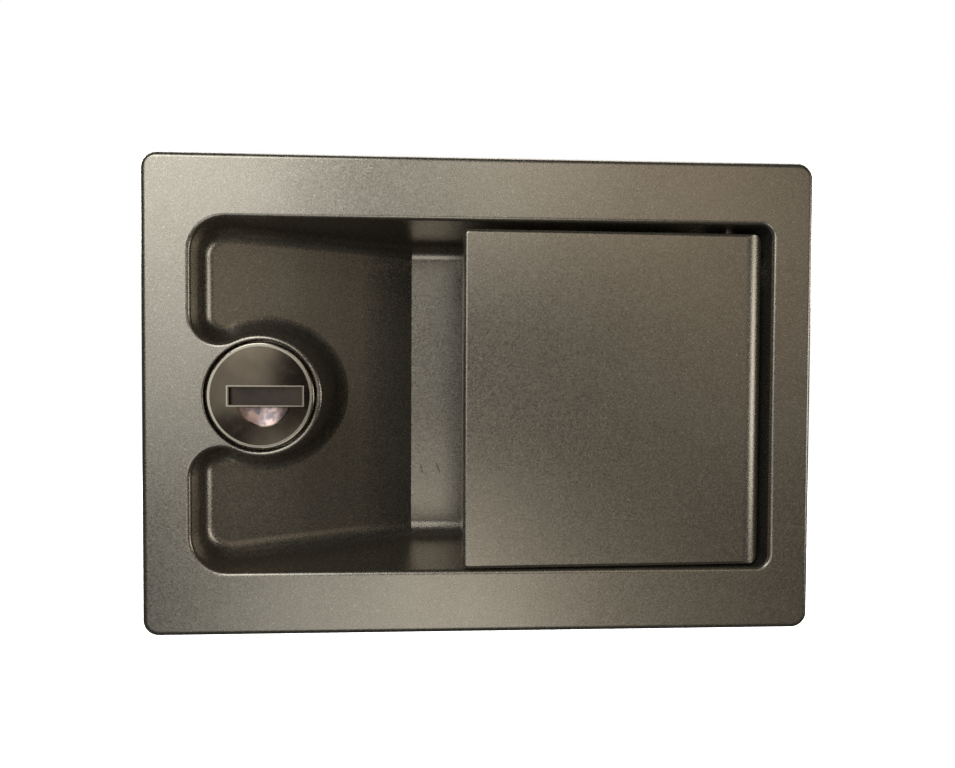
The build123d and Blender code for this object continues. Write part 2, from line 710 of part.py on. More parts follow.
def make_paddle_spring():
    """Torsion spring on the hinge pin; one leg hooks the arm, the other stands on the floor."""
    turns = PADDLE_COIL_TURNS
    height = turns * PADDLE_COIL_PITCH
    path = Helix(pitch=PADDLE_COIL_PITCH, height=height, radius=PADDLE_COIL_R)
    section = Plane(origin=path @ 0, z_dir=path % 0) * wire_section(PADDLE_WIRE_R)
    body = sweep(section, path=path, is_frenet=True)
    body = Pos(HINGE_X, HINGE_Y, PADDLE_COIL_Z) * Rot(0, 0, 180) * body
    left = HINGE_X - PADDLE_COIL_R
    right = HINGE_X + PADDLE_COIL_R
    low_z = PADDLE_COIL_Z
    top_z = PADDLE_COIL_Z + height
    foot = (left - SPRING_LEG_LEAN, HINGE_Y + SPRING_LEG, low_z)
    hook = (left - SPRING_LEG_LEAN, HINGE_Y + SPRING_LEG, low_z - SPRING_HOOK)
    body += wire([(left, HINGE_Y, low_z), foot, hook], SPRING_BEND_R, PADDLE_WIRE_R)
    body += rod_y(right, top_z, PADDLE_WIRE_R, (HINGE_Y, FLOOR_Y - SEAT_GAP))
    return body


def make_stop_bumpers():
    """Rubber buttons on the floor that the paddle's guard comes to rest on."""
    top_y = FLOOR_Y - GUARD_FLOOR_GAP + SEAT_GAP
    bumpers = []
    for x, z in bumper_places():
        head = rod_y(x, z, BUMPER_R, (top_y, FLOOR_Y))
        head = chamfer(head.edges().filter_by(GeomType.CIRCLE).sort_by(Axis.Y)[0], BUMPER_CHAMFER)
        stem = rod_y(x, z, BUMPER_STEM_R, (FLOOR_Y, FLOOR_Y + BUMPER_STEM_L))
        bumpers.append(head + stem)
    return bumpers


# ---------------------------------------------------------------- bolt and carrier

def make_bolt_carrier():
    """Pressed plate behind the pan's floor, with bent tabs that the bolt springs push on."""
    sheet = box_sketch((CARRIER_LEFT, CARRIER_RIGHT), (-CARRIER_HALF_H, CARRIER_HALF_H))
    arm_right = HINGE_X + ARM_TIP_R + 2 * PLAY
    sheet -= box_sketch((BLOCK_LEFT - SLIDE_GAP, arm_right),
                        (-ARM_HALF_W - PLAY, ARM_HALF_W + PLAY))
    sheet -= box_sketch((BLOCK_LEFT - SLIDE_GAP, BLOCK_RIGHT + 2 * SLIDE_GAP),
                        (-BLOCK_HALF_H - CLUTCH_FALL - PLAY, 0))
    post_h = SPRING_POST_H / 2 + SLIDE_GAP
    for side in (-1, 1):
        post_slot = box_sketch(
            (SPRING_POST_X - SLIDE_GAP, SPRING_POST_RIGHT + BOLT_THROW + SLIDE_GAP),
            (-post_h, post_h))
        sheet -= Pos(0, side * SPRING_Z) * post_slot
    for x in STUD_XS:
        sheet -= Pos(x, STUD_Z) * Circle(STUD_SHANK_R + FIT)
    for side in (-1, 1):
        sheet -= Pos(RIVET_X, side * RIVET_Z) * Circle(RIVET_R + FIT)
    body = plate(sheet, (CARRIER_Y, CARRIER_BACK_Y))
    for side in (-1, 1):
        z = (side * SPRING_Z - TAB_H / 2, side * SPRING_Z + TAB_H / 2)
        body += block((TAB_LEFT, TAB_LEFT + TAB_T), (CARRIER_Y, CARRIER_BACK_Y + TAB_H), z)
    return body


def make_latch_bolt():
    """Slam bolt: a foot that stops on the end wall, and a nose bevelled on its closing side."""
    y0 = CARRIER_BACK_Y
    y1 = BOLT_BACK_Y
    tip = BOLT_TIP_X
    nose = make_face(Polyline(
        (BOLT_FOOT_LEFT, y0), (tip, y0), (tip, y0 + BOLT_NOSE),
        (tip - BOLT_BEVEL, y1), (BOLT_FOOT_LEFT, y1), close=True))
    nose = fillet(nose.vertices().group_by(Axis.X)[-1].sort_by(Axis.Y)[-1], BOLT_EDGE_R)
    body = side_plate(nose, (-BOLT_HALF_H, BOLT_HALF_H))
    foot = box_sketch((BOLT_FOOT_LEFT, CARRIER_RIGHT), (-BOLT_FOOT_HALF_H, BOLT_FOOT_HALF_H))
    body += plate(foot, (y0, y1))
    long_edges = body.edges().filter_by(Axis.X).filter_by(lambda e: e.center().X > CHANNEL_RIGHT)
    body = chamfer(long_edges, BOLT_EDGE_R)
    for side in (-1, 1):
        body -= rod_y(RIVET_X, side * RIVET_Z, RIVET_R + FIT, (y0 - 1, y1 + 1))
        body -= rod_y(RIVET_X, side * RIVET_Z, RIVET_HEAD_R + SEAT_GAP, (y1 - RIVET_HEAD_T, y1 + 1))
    return body


def make_carrier_rivets():
    """Two rivets through the carrier and the bolt's foot, heads flush in the bolt."""
    rivets = []
    for side in (-1, 1):
        shank = rod_y(RIVET_X, side * RIVET_Z, RIVET_R, (CARRIER_Y, BOLT_BACK_Y))
        head = rod_y(RIVET_X, side * RIVET_Z, RIVET_HEAD_R, (BOLT_BACK_Y - RIVET_HEAD_T, BOLT_BACK_Y))
        rivets.append(shank + head)
    return rivets


def make_bolt_springs():
    """Two compression springs between the housing's posts and the carrier's tabs."""
    springs = []
    length = SPRING_LENGTH - 2 * SEAT_GAP
    for side in (-1, 1):
        spring = coil(SPRING_COIL_R, SPRING_WIRE_R, length, SPRING_TURNS)
        place = Pos(SPRING_POST_RIGHT + SEAT_GAP, spring_y(), side * SPRING_Z)
        springs.append(place * Rot(0, 90, 0) * spring)
    return springs


# ---------------------------------------------------------------- clutch

def make_clutch_plate():
    """Plate that slides up and down on the carrier and puts its drive block by the arm."""
    slot_r = CAM_PIN_R + PLAY
    slot_left = CAM_PIN_X - slot_r
    slot_right = LOCK_X + CAM_PIN_ARM + BOLT_THROW + slot_r + PLAY
    slot_z = (CAM_PIN_Z - slot_r, CAM_PIN_Z + slot_r)
    body_left = STUD_XS[0] - STUD_SLOT_R - 2 * CLUTCH_WEB
    body_right = STUD_XS[-1] + STUD_SLOT_R + 2 * CLUTCH_WEB
    sheet = box_sketch((body_left, body_right), (CLUTCH_LOW, CLUTCH_TOP))
    sheet += box_sketch((slot_left - CLUTCH_WEB, body_left),
                        (slot_z[0] - CLUTCH_WEB, slot_z[1] + CLUTCH_WEB))
    sheet += box_sketch((body_right, BLOCK_RIGHT), (-BLOCK_HALF_H, BLOCK_HALF_H))
    sheet -= slot_hole((slot_left, slot_right), slot_z)
    for x in STUD_XS:
        sheet -= slot_hole((x - STUD_SLOT_R, x + STUD_SLOT_R),
                           (STUD_Z - STUD_SLOT_R, STUD_Z + CLUTCH_FALL + STUD_SLOT_R))
    body = plate(sheet, (CLUTCH_Y, CLUTCH_BACK_Y))
    body += block((BLOCK_LEFT, BLOCK_RIGHT), (BLOCK_TIP_Y, CLUTCH_Y), (-BLOCK_HALF_H, BLOCK_HALF_H))
    return body


def make_clutch_studs():
    """Shoulder rivets in the carrier that guide the clutch plate."""
    studs = []
    head_y = CLUTCH_BACK_Y + CLUTCH_GAP
    for x in STUD_XS:
        stud = rod_y(x, STUD_Z, STUD_SHANK_R, (CARRIER_Y, CARRIER_BACK_Y))
        stud += rod_y(x, STUD_Z, STUD_R, (CARRIER_BACK_Y, head_y))
        stud += rod_y(x, STUD_Z, STUD_HEAD_R, (head_y, head_y + STUD_HEAD_T))
        studs.append(stud)
    return studs


# ---------------------------------------------------------------- lock

def make_lock_barrel():
    """Lock body: a bevelled head in the lobe and a barrel down the boss."""
    head_back_y = FACE_Y + HEAD_T
    body = rod_y(LOCK_X, 0, HEAD_R, (FACE_Y, head_back_y))
    body = fillet(body.edges().filter_by(GeomType.CIRCLE).sort_by(Axis.Y)[0], HEAD_EDGE_R)
    body += rod_y(LOCK_X, 0, BARREL_R, (head_back_y, FACE_Y + BARREL_LENGTH))
    body -= rod_y(LOCK_X, 0, CAP_R + FIT, (FACE_Y - 1, CAP_BACK_Y + FIT))
    body -= rod_y(LOCK_X, 0, PLUG_R + FIT, (FACE_Y, FACE_Y + BARREL_LENGTH + 1))
    return body


def make_lock_nut():
    """Hexagon nut that pulls the barrel's head into the lobe."""
    nut = RegularPolygon(NUT_ACROSS / 2, 6, major_radius=False) - Circle(BARREL_R + FIT)
    start = FACE_Y + BOSS_LENGTH
    return plate(Pos(LOCK_X, 0) * nut, (start, start + NUT_T))


def wafer_depths():
    """Depth of the front of each wafer."""
    return [CAP_BACK_Y + WAFER_FIRST + i * WAFER_PITCH for i in range(WAFER_COUNT)]


def wafer_pocket(grow, top_grow):
    """Side room of a wafer: the lug above its spring, left of the keyway."""
    right = LOCK_X - WAFER_W / 2 + grow
    left = LOCK_X - WAFER_W / 2 - WAFER_LUG_W - grow
    return (left, right), (WAFER_LUG_TOP - WAFER_LUG_H, WAFER_LUG_TOP + top_grow)


def wafer_spring_place():
    """X of the wafer springs, and the span of Z that they fill."""
    x = LOCK_X - WAFER_W / 2 - WAFER_LUG_W / 2
    top = WAFER_LUG_TOP - WAFER_LUG_H - FIT
    return x, (top - WAFER_SPRING_L, top)


def make_lock_plug():
    """The core the key turns, with its keyway, wafer slots, spring pockets and square end."""
    body = rod_y(LOCK_X, 0, PLUG_R, (CAP_BACK_Y, PLUG_END_Y))
    half = DRIVE_SQUARE / 2 - FIT
    square = (LOCK_X - half, LOCK_X + half), (-half, half)
    body += block(square[0], (PLUG_END_Y, CAM_Y + CAM_T / 2 - FIT), square[1])
    keyway = (SLOT_X - KEYWAY_W / 2, SLOT_X + KEYWAY_W / 2), (-KEYWAY_H / 2, KEYWAY_H / 2)
    body -= block(keyway[0], (CAP_BACK_Y - 1, CAP_BACK_Y + KEYWAY_LENGTH), keyway[1])
    half_w = WAFER_W / 2 + FIT
    spring_z = wafer_spring_place()[1]
    pocket_x, pocket_z = wafer_pocket(FIT, WAFER_LUG_H)
    for y in wafer_depths():
        span = (y - FIT, y + WAFER_T + FIT)
        body -= block((LOCK_X - half_w, LOCK_X + half_w), span, (-PLUG_R, PLUG_R))
        body -= block(pocket_x, span, (spring_z[0] - FIT, pocket_z[1]))
    body -= rod_y(LOCK_X, 0, SCREW_R - THREAD_DEPTH + FIT, (CAM_Y - CAM_SCREW_LENGTH, CAM_BACK_Y))
    return body


def make_wafers():
    """Flat tumblers across the plug, each with a window for the key and a lug for its spring."""
    window_z = (-WAFER_WINDOW_H / 2, WAFER_WINDOW_H / 2)
    window_x = (LOCK_X - WAFER_WINDOW_W / 2, LOCK_X + WAFER_WINDOW_W / 2)
    lug_x, lug_z = wafer_pocket(0, 0)
    wafers = []
    for y in wafer_depths():
        span = (y, y + WAFER_T)
        wafer = rod_y(LOCK_X, 0, PLUG_R - FIT, span)
        wafer &= block((LOCK_X - WAFER_W / 2, LOCK_X + WAFER_W / 2), span, (-PLUG_R, PLUG_R))
        wafer += block(lug_x, span, lug_z)
        wafer -= block(window_x, (y - 1, y + WAFER_T + 1), window_z)
        wafers.append(wafer)
    return wafers


def make_wafer_springs():
    """A small compression spring below each wafer's lug."""
    x, z = wafer_spring_place()
    spring = coil(WAFER_SPRING_R, WAFER_WIRE_R, WAFER_SPRING_L, WAFER_SPRING_TURNS)
    return [Pos(x, y + WAFER_T / 2, z[0]) * spring for y in wafer_depths()]


def make_plug_cap():
    """Polished domed face of the lock: framed key slot, and a half-moon dish below it."""
    front_y = CAP_Y - CAP_DOME
    dome_r = (CAP_R**2 + CAP_DOME**2) / (2 * CAP_DOME)
    body = rod_y(LOCK_X, 0, CAP_R, (front_y, CAP_BACK_Y))
    body &= Pos(LOCK_X, front_y + dome_r, 0) * Sphere(dome_r)
    frame_x = SLOT_W / 2 + FRAME_EDGE_X
    frame_z = SLOT_H / 2 + FRAME_EDGE_Z
    ball_r = (DISH_R**2 + DISH_DEPTH**2) / (2 * DISH_DEPTH)
    ball = Pos(LOCK_X + DISH_X, front_y + DISH_DEPTH - ball_r, DISH_Z) * Sphere(ball_r)
    below = block((LOCK_X - CAP_R, LOCK_X + CAP_R), (front_y - 1, CAP_BACK_Y), (-CAP_R, -frame_z))
    body -= ball & below
    frame = box_sketch((SLOT_X - frame_x, SLOT_X + frame_x), (-frame_z, frame_z))
    body += plate(frame, (front_y - FRAME_PROUD, CAP_Y + 1))
    slot = box_sketch((SLOT_X - SLOT_W / 2, SLOT_X + SLOT_W / 2), (-SLOT_H / 2, SLOT_H / 2))
    body -= plate(slot, (CAP_Y - 1, CAP_BACK_Y + 1))
    room = box_sketch((SLOT_X - SHUTTER_HALF_W - SEAT_GAP, SLOT_X + SHUTTER_HALF_W + SEAT_GAP),
                      (-SLOT_H / 2 - SHUTTER_SIDE, SLOT_H / 2 + SHUTTER_ROOM_H))
    body -= plate(room, (CAP_Y + SLOT_FACE_T, CAP_BACK_Y + 1))
    pin_half = SHUTTER_HALF_W + 2 * SHUTTER_SIDE
    body -= rod_x(SHUTTER_Y, SHUTTER_Z, SHUTTER_PIN_R + FIT, (SLOT_X - pin_half, SLOT_X + pin_half))
    return body


def make_dust_shutter():
    """Flap behind the key slot, hinged above it."""
    left = SLOT_X - SHUTTER_HALF_W
    right = SLOT_X + SHUTTER_HALF_W
    coil_left = right - SHUTTER_COIL_ROOM
    front = SHUTTER_Y - SHUTTER_KNUCKLE_R
    body = rod_x(SHUTTER_Y, SHUTTER_Z, SHUTTER_KNUCKLE_R, (left, coil_left))
    body += block((left, right), (front, front + SHUTTER_T), (-SLOT_H / 2, SHUTTER_Z))
    body -= block((coil_left, right + 1), (front - 1, SHUTTER_Y + SHUTTER_KNUCKLE_R),
                  (SHUTTER_Z - SHUTTER_KNUCKLE_R - SEAT_GAP, SLOT_H))
    body -= rod_x(SHUTTER_Y, SHUTTER_Z, SHUTTER_PIN_R + FIT, (left - 1, right + 1))
    return body


def make_shutter_pin():
    """Pin that the shutter turns on, held in the cap."""
    half = SHUTTER_HALF_W + 2 * SHUTTER_SIDE - FIT
    return rod_x(SHUTTER_Y, SHUTTER_Z, SHUTTER_PIN_R, (SLOT_X - half, SLOT_X + half))


def make_shutter_spring():
    """Small torsion coil round the shutter's pin, at its right end."""
    left = SLOT_X + SHUTTER_HALF_W - SHUTTER_COIL_L - SEAT_GAP
    spring = coil(SHUTTER_COIL_R, SHUTTER_WIRE_R, SHUTTER_COIL_L, SHUTTER_COIL_TURNS)
    return Pos(left, SHUTTER_Y, SHUTTER_Z) * Rot(0, 90, 0) * spring


def make_lock_cam():
    """Disc on the plug's square end, with the pin that moves the clutch plate."""
    body = rod_y(LOCK_X, 0, CAM_R, (CAM_Y, CAM_BACK_Y))
    half = DRIVE_SQUARE / 2
    body -= block((LOCK_X - half, LOCK_X + half), (CAM_Y - 1, CAM_Y + CAM_T / 2), (-half, half))
    body -= cam_screw_head(FIT)
    body += rod_y(CAM_PIN_X, CAM_PIN_Z, CAM_PIN_R, (CAM_BACK_Y - 1, CLUTCH_BACK_Y + 2 * CLUTCH_GAP))
    return body


def cam_screw_head(grow):
    """Countersunk head of the cam's screw, flush with the cam's back."""
    cone = Cone(SCREW_HEAD_R + grow, SCREW_R + grow, SCREW_HEAD_T)
    head = Pos(LOCK_X, CAM_BACK_Y - SCREW_HEAD_T / 2, 0) * Rot(90, 0, 0) * cone
    neck = rod_y(LOCK_X, 0, SCREW_R + grow, (CAM_Y, CAM_BACK_Y - SCREW_HEAD_T))
    return head + neck


def make_cam_screw():
    """Flat-head screw that holds the cam on the plug."""
    body = cam_screw_head(0)
    body -= block((LOCK_X - BIG, LOCK_X + BIG), (CAM_Y - 1, CAM_Y + CAM_T / 2), (-BIG, BIG))
    slot_y = CAM_BACK_Y - CAM_SLOT_DEPTH
    shank_y = (CAM_Y - CAM_SCREW_LENGTH + OVERLAP, slot_y)
    body += rod_y(LOCK_X, 0, SCREW_R - THREAD_DEPTH, shank_y)
    slot = block((LOCK_X - BIG, LOCK_X + BIG), (slot_y, BIG), (-CAM_SLOT_W / 2, CAM_SLOT_W / 2))
    return body - slot


# ---------------------------------------------------------------- rear cover

def cover_outline(margin):
    """The rear cover's outline, drawn in by a margin."""
    width = CHANNEL_RIGHT - CHANNEL_LEFT
    centre = Pos(CHANNEL_LEFT + width / 2, 0)
    return centre * RectangleRounded(width - 2 * margin, 2 * (COVER_HALF_H - margin), COVER_CORNER_R)


def make_rear_cover():
    """Pressed plate over the bolt's channel, with a raised panel that stiffens it."""
    sketch = cover_outline(0)
    for x, z in boss_places():
        sketch -= Pos(x, z) * Circle(SCREW_R + SLIDE_GAP)
    outer_y = CHANNEL_END_Y + COVER_T
    body = plate(sketch, (CHANNEL_END_Y, outer_y))
    body = fillet(body.edges().group_by(Axis.Y)[-1].filter_by(Axis.X), COVER_EDGE_R)
    panel = plate(cover_outline(PANEL_MARGIN), (outer_y, outer_y + PANEL_RISE))
    body += chamfer(panel.edges().group_by(Axis.Y)[-1], PANEL_DRAW_R)
    inside = cover_outline(PANEL_MARGIN + PANEL_RISE)
    return body - plate(inside, (CHANNEL_END_Y - 1, CHANNEL_END_Y + PANEL_RISE))


def make_cover_screws():
    """Four slotted screws."""
    seat = CHANNEL_END_Y + COVER_T
    screws = []
    for x, z in boss_places():
        head = rod_y(x, z, COVER_SCREW_HEAD_R, (seat, seat + COVER_SCREW_HEAD_H))
        head = chamfer(head.edges().filter_by(GeomType.CIRCLE).sort_by(Axis.Y)[-1], COVER_SCREW_CHAMFER)
        shank = rod_y(x, z, SCREW_R, (CHANNEL_END_Y - COVER_SCREW_LENGTH + 1, seat))
        slot = block((x - BIG, x + BIG), (seat + COVER_SCREW_HEAD_H - COVER_SLOT_DEPTH, BIG),
                     (z - COVER_SLOT_W / 2, z + COVER_SLOT_W / 2))
        screws.append(head + shank - slot)
    return screws


# ---------------------------------------------------------------- build

NODES = {
    "housing": make_housing,
    "gasket": make_gasket,
    "mounting_studs": make_mounting_studs,
    "paddle": make_paddle,
    "hinge_pin": make_hinge_pin,
    "pin_clips": make_pin_clips,
    "paddle_spring": make_paddle_spring,
    "stop_bumpers": make_stop_bumpers,
    "bolt_carrier": make_bolt_carrier,
    "latch_bolt": make_latch_bolt,
    "carrier_rivets": make_carrier_rivets,
    "bolt_springs": make_bolt_springs,
    "clutch_plate": make_clutch_plate,
    "clutch_studs": make_clutch_studs,
    "lock_barrel": make_lock_barrel,
    "lock_nut": make_lock_nut,
    "lock_plug": make_lock_plug,
    "plug_cap": make_plug_cap,
    "wafers": make_wafers,
    "wafer_springs": make_wafer_springs,
    "dust_shutter": make_dust_shutter,
    "shutter_pin": make_shutter_pin,
    "shutter_spring": make_shutter_spring,
    "lock_cam": make_lock_cam,
    "cam_screw": make_cam_screw,
    "rear_cover": make_rear_cover,
    "cover_screws": make_cover_screws,
}


def main():
    """Build each piece and write it under its own name."""
    os.makedirs("parts", exist_ok=True)
    for name, make in NODES.items():
        shape = make()
        if isinstance(shape, list):
            solids = [solid for piece in shape for solid in piece.solids()]
            shape = Compound(children=solids)
        export_step(shape, f"parts/{name}.step")
        print(f"{name}: {len(shape.solids())} solid(s), {shape.volume:.0f} mm3")


main()
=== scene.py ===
"""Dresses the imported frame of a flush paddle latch: finishes, springs, threads, studio and camera."""

import json
import logging
import math
from dataclasses import dataclass
from enum import Enum
from typing import Iterable, Mapping, Sequence

import bmesh
import bpy
from mathutils import Matrix, Vector


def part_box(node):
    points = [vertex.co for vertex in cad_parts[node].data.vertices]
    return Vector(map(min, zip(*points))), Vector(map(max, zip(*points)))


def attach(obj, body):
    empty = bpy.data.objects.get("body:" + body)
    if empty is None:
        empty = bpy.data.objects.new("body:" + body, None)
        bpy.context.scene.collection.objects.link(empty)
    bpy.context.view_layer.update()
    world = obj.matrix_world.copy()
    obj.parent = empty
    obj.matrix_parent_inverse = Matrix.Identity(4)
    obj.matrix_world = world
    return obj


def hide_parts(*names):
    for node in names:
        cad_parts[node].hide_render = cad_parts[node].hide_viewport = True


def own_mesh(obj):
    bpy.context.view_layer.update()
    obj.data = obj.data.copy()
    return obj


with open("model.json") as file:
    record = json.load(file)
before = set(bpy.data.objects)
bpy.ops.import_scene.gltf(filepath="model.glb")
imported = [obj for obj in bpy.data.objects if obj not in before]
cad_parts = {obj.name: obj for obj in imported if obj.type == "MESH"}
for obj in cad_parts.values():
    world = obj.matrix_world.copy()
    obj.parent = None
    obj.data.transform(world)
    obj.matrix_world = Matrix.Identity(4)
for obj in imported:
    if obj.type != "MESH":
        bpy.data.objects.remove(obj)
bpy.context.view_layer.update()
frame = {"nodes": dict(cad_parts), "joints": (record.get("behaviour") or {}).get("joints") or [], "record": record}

LOG = logging.getLogger("paddle_latch")

Colour = tuple[float, float, float]
Point = tuple[float, float, float]

MM = 0.001
JOINTS = {joint["name"]: joint for joint in frame["joints"]}
LOCK_X = JOINTS["lock_turn"]["pos_m"][0]
WHITE = (1.0, 1.0, 1.0)


class Body(Enum):
    """The rigid bodies that pieces ride on."""

    HOUSING = "housing"
    PADDLE = "paddle"
    BOLT = "bolt"


class Slot(Enum):
    """The material slots of the record that new pieces take their finish from."""

    SPRING_STEEL = "spring_steel"
    ZINC_STEEL = "zinc_steel"
    NICKEL = "nickel"


# ---------------------------------------------------------------- shader writing


class Value:
    """An output socket that adds Math nodes when it is calculated with."""

    def __init__(self, board: "Board", socket: bpy.types.NodeSocket) -> None:
        """Wraps a socket.

        Args:
            board: The board that the socket's node stands on.
            socket: The output socket.
        """
        self.board = board
        self.socket = socket

    def output(self, name: str | int) -> "Value":
        """Another output of the same node."""
        return Value(self.board, self.socket.node.outputs[name])

    def math(self, operation: str, *terms: "Value | float") -> "Value":
        """A Math node on the given terms.

        Args:
            operation: The Math node's operation.
            *terms: Its one to three inputs, in order.

        Returns:
            The node's output.
        """
        return self.board.make("ShaderNodeMath", {"operation": operation}, dict(enumerate(terms)))

    def __add__(self, other: "Value | float") -> "Value":
        """Sum of two values."""
        return self.math("ADD", self, other)

    def __radd__(self, other: float) -> "Value":
        """Sum with the number first."""
        return self.math("ADD", other, self)

    def __sub__(self, other: "Value | float") -> "Value":
        """Difference of two values."""
        return self.math("SUBTRACT", self, other)

    def __rsub__(self, other: float) -> "Value":
        """Difference with the number first."""
        return self.math("SUBTRACT", other, self)

    def __mul__(self, other: "Value | float") -> "Value":
        """Product of two values."""
        return self.math("MULTIPLY", self, other)

    def __rmul__(self, other: float) -> "Value":
        """Product with the number first."""
        return self.math("MULTIPLY", other, self)

    def __pow__(self, other: "Value | float") -> "Value":
        """Power of a value."""
        return self.math("POWER", self, other)

    def __rpow__(self, other: float) -> "Value":
        """Power with the number as its base."""
        return self.math("POWER", other, self)

    def __abs__(self) -> "Value":
        """Size of a value without its sign."""
        return self.math("ABSOLUTE", self)

    def most(self, other: "Value | float") -> "Value":
        """The larger of two values."""
        return self.math("MAXIMUM", self, other)

    def step(self, low: float, high: float) -> "Value":
        """A smooth rise from 0 to 1.

        Args:
            low: Where the rise starts.
            high: Where it ends. A smaller value than low makes it a fall.

        Returns:
            The eased value.
        """
        rising = high > low
        ends = (low, high) if rising else (high, low)
        return self.board.make(
            "ShaderNodeMapRange", {"interpolation_type": "SMOOTHSTEP"},
            {"Value": self, "From Min": ends[0], "From Max": ends[1],
             "To Min": 0.0 if rising else 1.0, "To Max": 1.0 if rising else 0.0})


Input = Value | float | Sequence[float]


class Board:
    """The node tree of one material or world."""

    OCTAVE_SHARE = 0.55

    def __init__(self, owner: bpy.types.Material | bpy.types.World) -> None:
        """Starts an empty tree.

        Args:
            owner: The material or world that the tree belongs to.
        """
        self.owner = owner
        self.owner.use_nodes = True
        self.tree = owner.node_tree
        self.tree.nodes.clear()

    @classmethod
    def of_material(cls, name: str) -> "Board":
        """The empty tree of a new material."""
        return cls(bpy.data.materials.new(name))

    def add(self, kind: str, settings: Mapping[str, object],
            inputs: Mapping[str | int, Input]) -> bpy.types.Node:
        """Adds a node.

        Args:
            kind: The node's type.
            settings: Its settings, such as an operation, which are set first.
            inputs: Values or links of its sockets, by name or number.

        Returns:
            The node.
        """
        node = self.tree.nodes.new(kind)
        for name, setting in settings.items():
            setattr(node, name, setting)
        for name, given in inputs.items():
            socket = node.inputs[name]
            if isinstance(given, Value):
                self.tree.links.new(given.socket, socket)
            elif isinstance(given, (int, float)) or len(given) == len(socket.default_value):
                socket.default_value = given
            else:
                socket.default_value = (*given, 1.0)
        return node

    def make(self, kind: str, settings: Mapping[str, object] | None = None,
             inputs: Mapping[str | int, Input] | None = None, output: str | int = 0) -> Value:
        """Adds a node for the sake of one of its outputs.

        Args:
            kind: The node's type.
            settings: Its settings.
            inputs: Values or links of its sockets, by name or number.
            output: The output to hand back, by name or number.

        Returns:
            That output as a value.
        """
        node = self.add(kind, settings or {}, inputs or {})
        return Value(self, node.outputs[output])

    def place(self) -> Value:
        """The point on the surface, in metres in the latch's own frame."""
        return self.make("ShaderNodeTexCoord", output="Object")

    def axes(self, vector: Value) -> tuple[Value, Value, Value]:
        """The three parts of a vector."""
        parts = self.make("ShaderNodeSeparateXYZ", inputs={0: vector})
        return parts, parts.output(1), parts.output(2)

    def stretched(self, vector: Value, scale: Point) -> Value:
        """A vector with each of its parts scaled."""
        return self.make("ShaderNodeVectorMath", {"operation": "MULTIPLY"}, {0: vector, 1: scale})

    def noise(self, vector: Value, grain: float, detail: float = 2.0) -> Value:
        """Cloudy noise between 0 and 1.

        Args:
            vector: Where it is read.
            grain: Size of its lumps in metres.
            detail: Number of finer octaves.

        Returns:
            The noise.
        """
        return self.make("ShaderNodeTexNoise", {}, {
            "Vector": vector, "Scale": 1.0 / grain, "Detail": detail,
            "Roughness": self.OCTAVE_SHARE})

    def flakes(self, vector: Value, grain: float) -> Value:
        """A random number between 0 and 1 for each small cell.

        Args:
            vector: Where it is read.
            grain: Width of a cell in metres.

        Returns:
            The number.
        """
        cells = self.make("ShaderNodeTexVoronoi", {"feature": "F1"},
                          {"Vector": vector, "Scale": 1.0 / grain}, "Color")
        return self.axes(cells)[0]

    def blend(self, factor: Value | float, first: Input, second: Input) -> Value:
        """A colour between two colours.

        Args:
            factor: 0 for the first, 1 for the second.
            first: The first colour.
            second: The second colour.

        Returns:
            The mixed colour.
        """
        return self.make("ShaderNodeMix", {"data_type": "RGBA"},
                         {0: factor, 6: first, 7: second}, 2)

    def bump(self, height: Value, strength: float, distance: float,
             under: Value | None = None) -> Value:
        """A normal bent by a height.

        Args:
            height: The height, between 0 and 1.
            strength: Strength of the effect.
            distance: Real height in metres of a rise from 0 to 1.
            under: A normal that this one is added to.

        Returns:
            The normal.
        """
        inputs: dict[str | int, Input] = {
            "Strength": strength, "Distance": distance, "Height": height}
        if under is not None:
            inputs["Normal"] = under
        return self.make("ShaderNodeBump", {}, inputs)

    def finish(self, **sockets: Input) -> bpy.types.Material:
        """Ends the tree in one Principled shader.

        Args:
            **sockets: Its inputs, with underscores for the spaces in their names.

        Returns:
            The material.
        """
        named = {name.replace("_", " "): given for name, given in sockets.items()}
        shader = self.make("ShaderNodeBsdfPrincipled", {}, named)
        self.add("ShaderNodeOutputMaterial", {}, {"Surface": shader})
        return self.owner


# ---------------------------------------------------------------- finishes


FLOOR_DEPTHS = (20.5 * MM, 22.5 * MM)
FACE_DEPTHS = (-6.0 * MM, -2.5 * MM)


@dataclass(frozen=True)
class Mark:
    """A small scratch or speck in the paint, as seen from the front."""

    x: float
    z: float
    half_width: float
    half_height: float
    depths: tuple[float, float]
    lean: float = 0.0
    core_width: float = 0.3
    core_height: float = 0.5
    soft: float = 0.1 * MM

    def mask(self, axes: tuple[Value, Value, Value]) -> Value:
        """Where the mark is.

        Args:
            axes: The three parts of the place on the surface.

        Returns:
            1 inside the mark and 0 outside it.
        """
        x, y, z = axes
        middle = (z - self.z) * -self.lean + self.x
        across = abs(x - middle).step(self.half_width, self.core_width * self.half_width)
        along = abs(z - self.z).step(self.half_height, self.core_height * self.half_height)
        low, high = self.depths
        reach = (high - low) / 2
        depth = abs(y - (low + high) / 2).step(reach, reach - self.soft)
        return across * along * depth


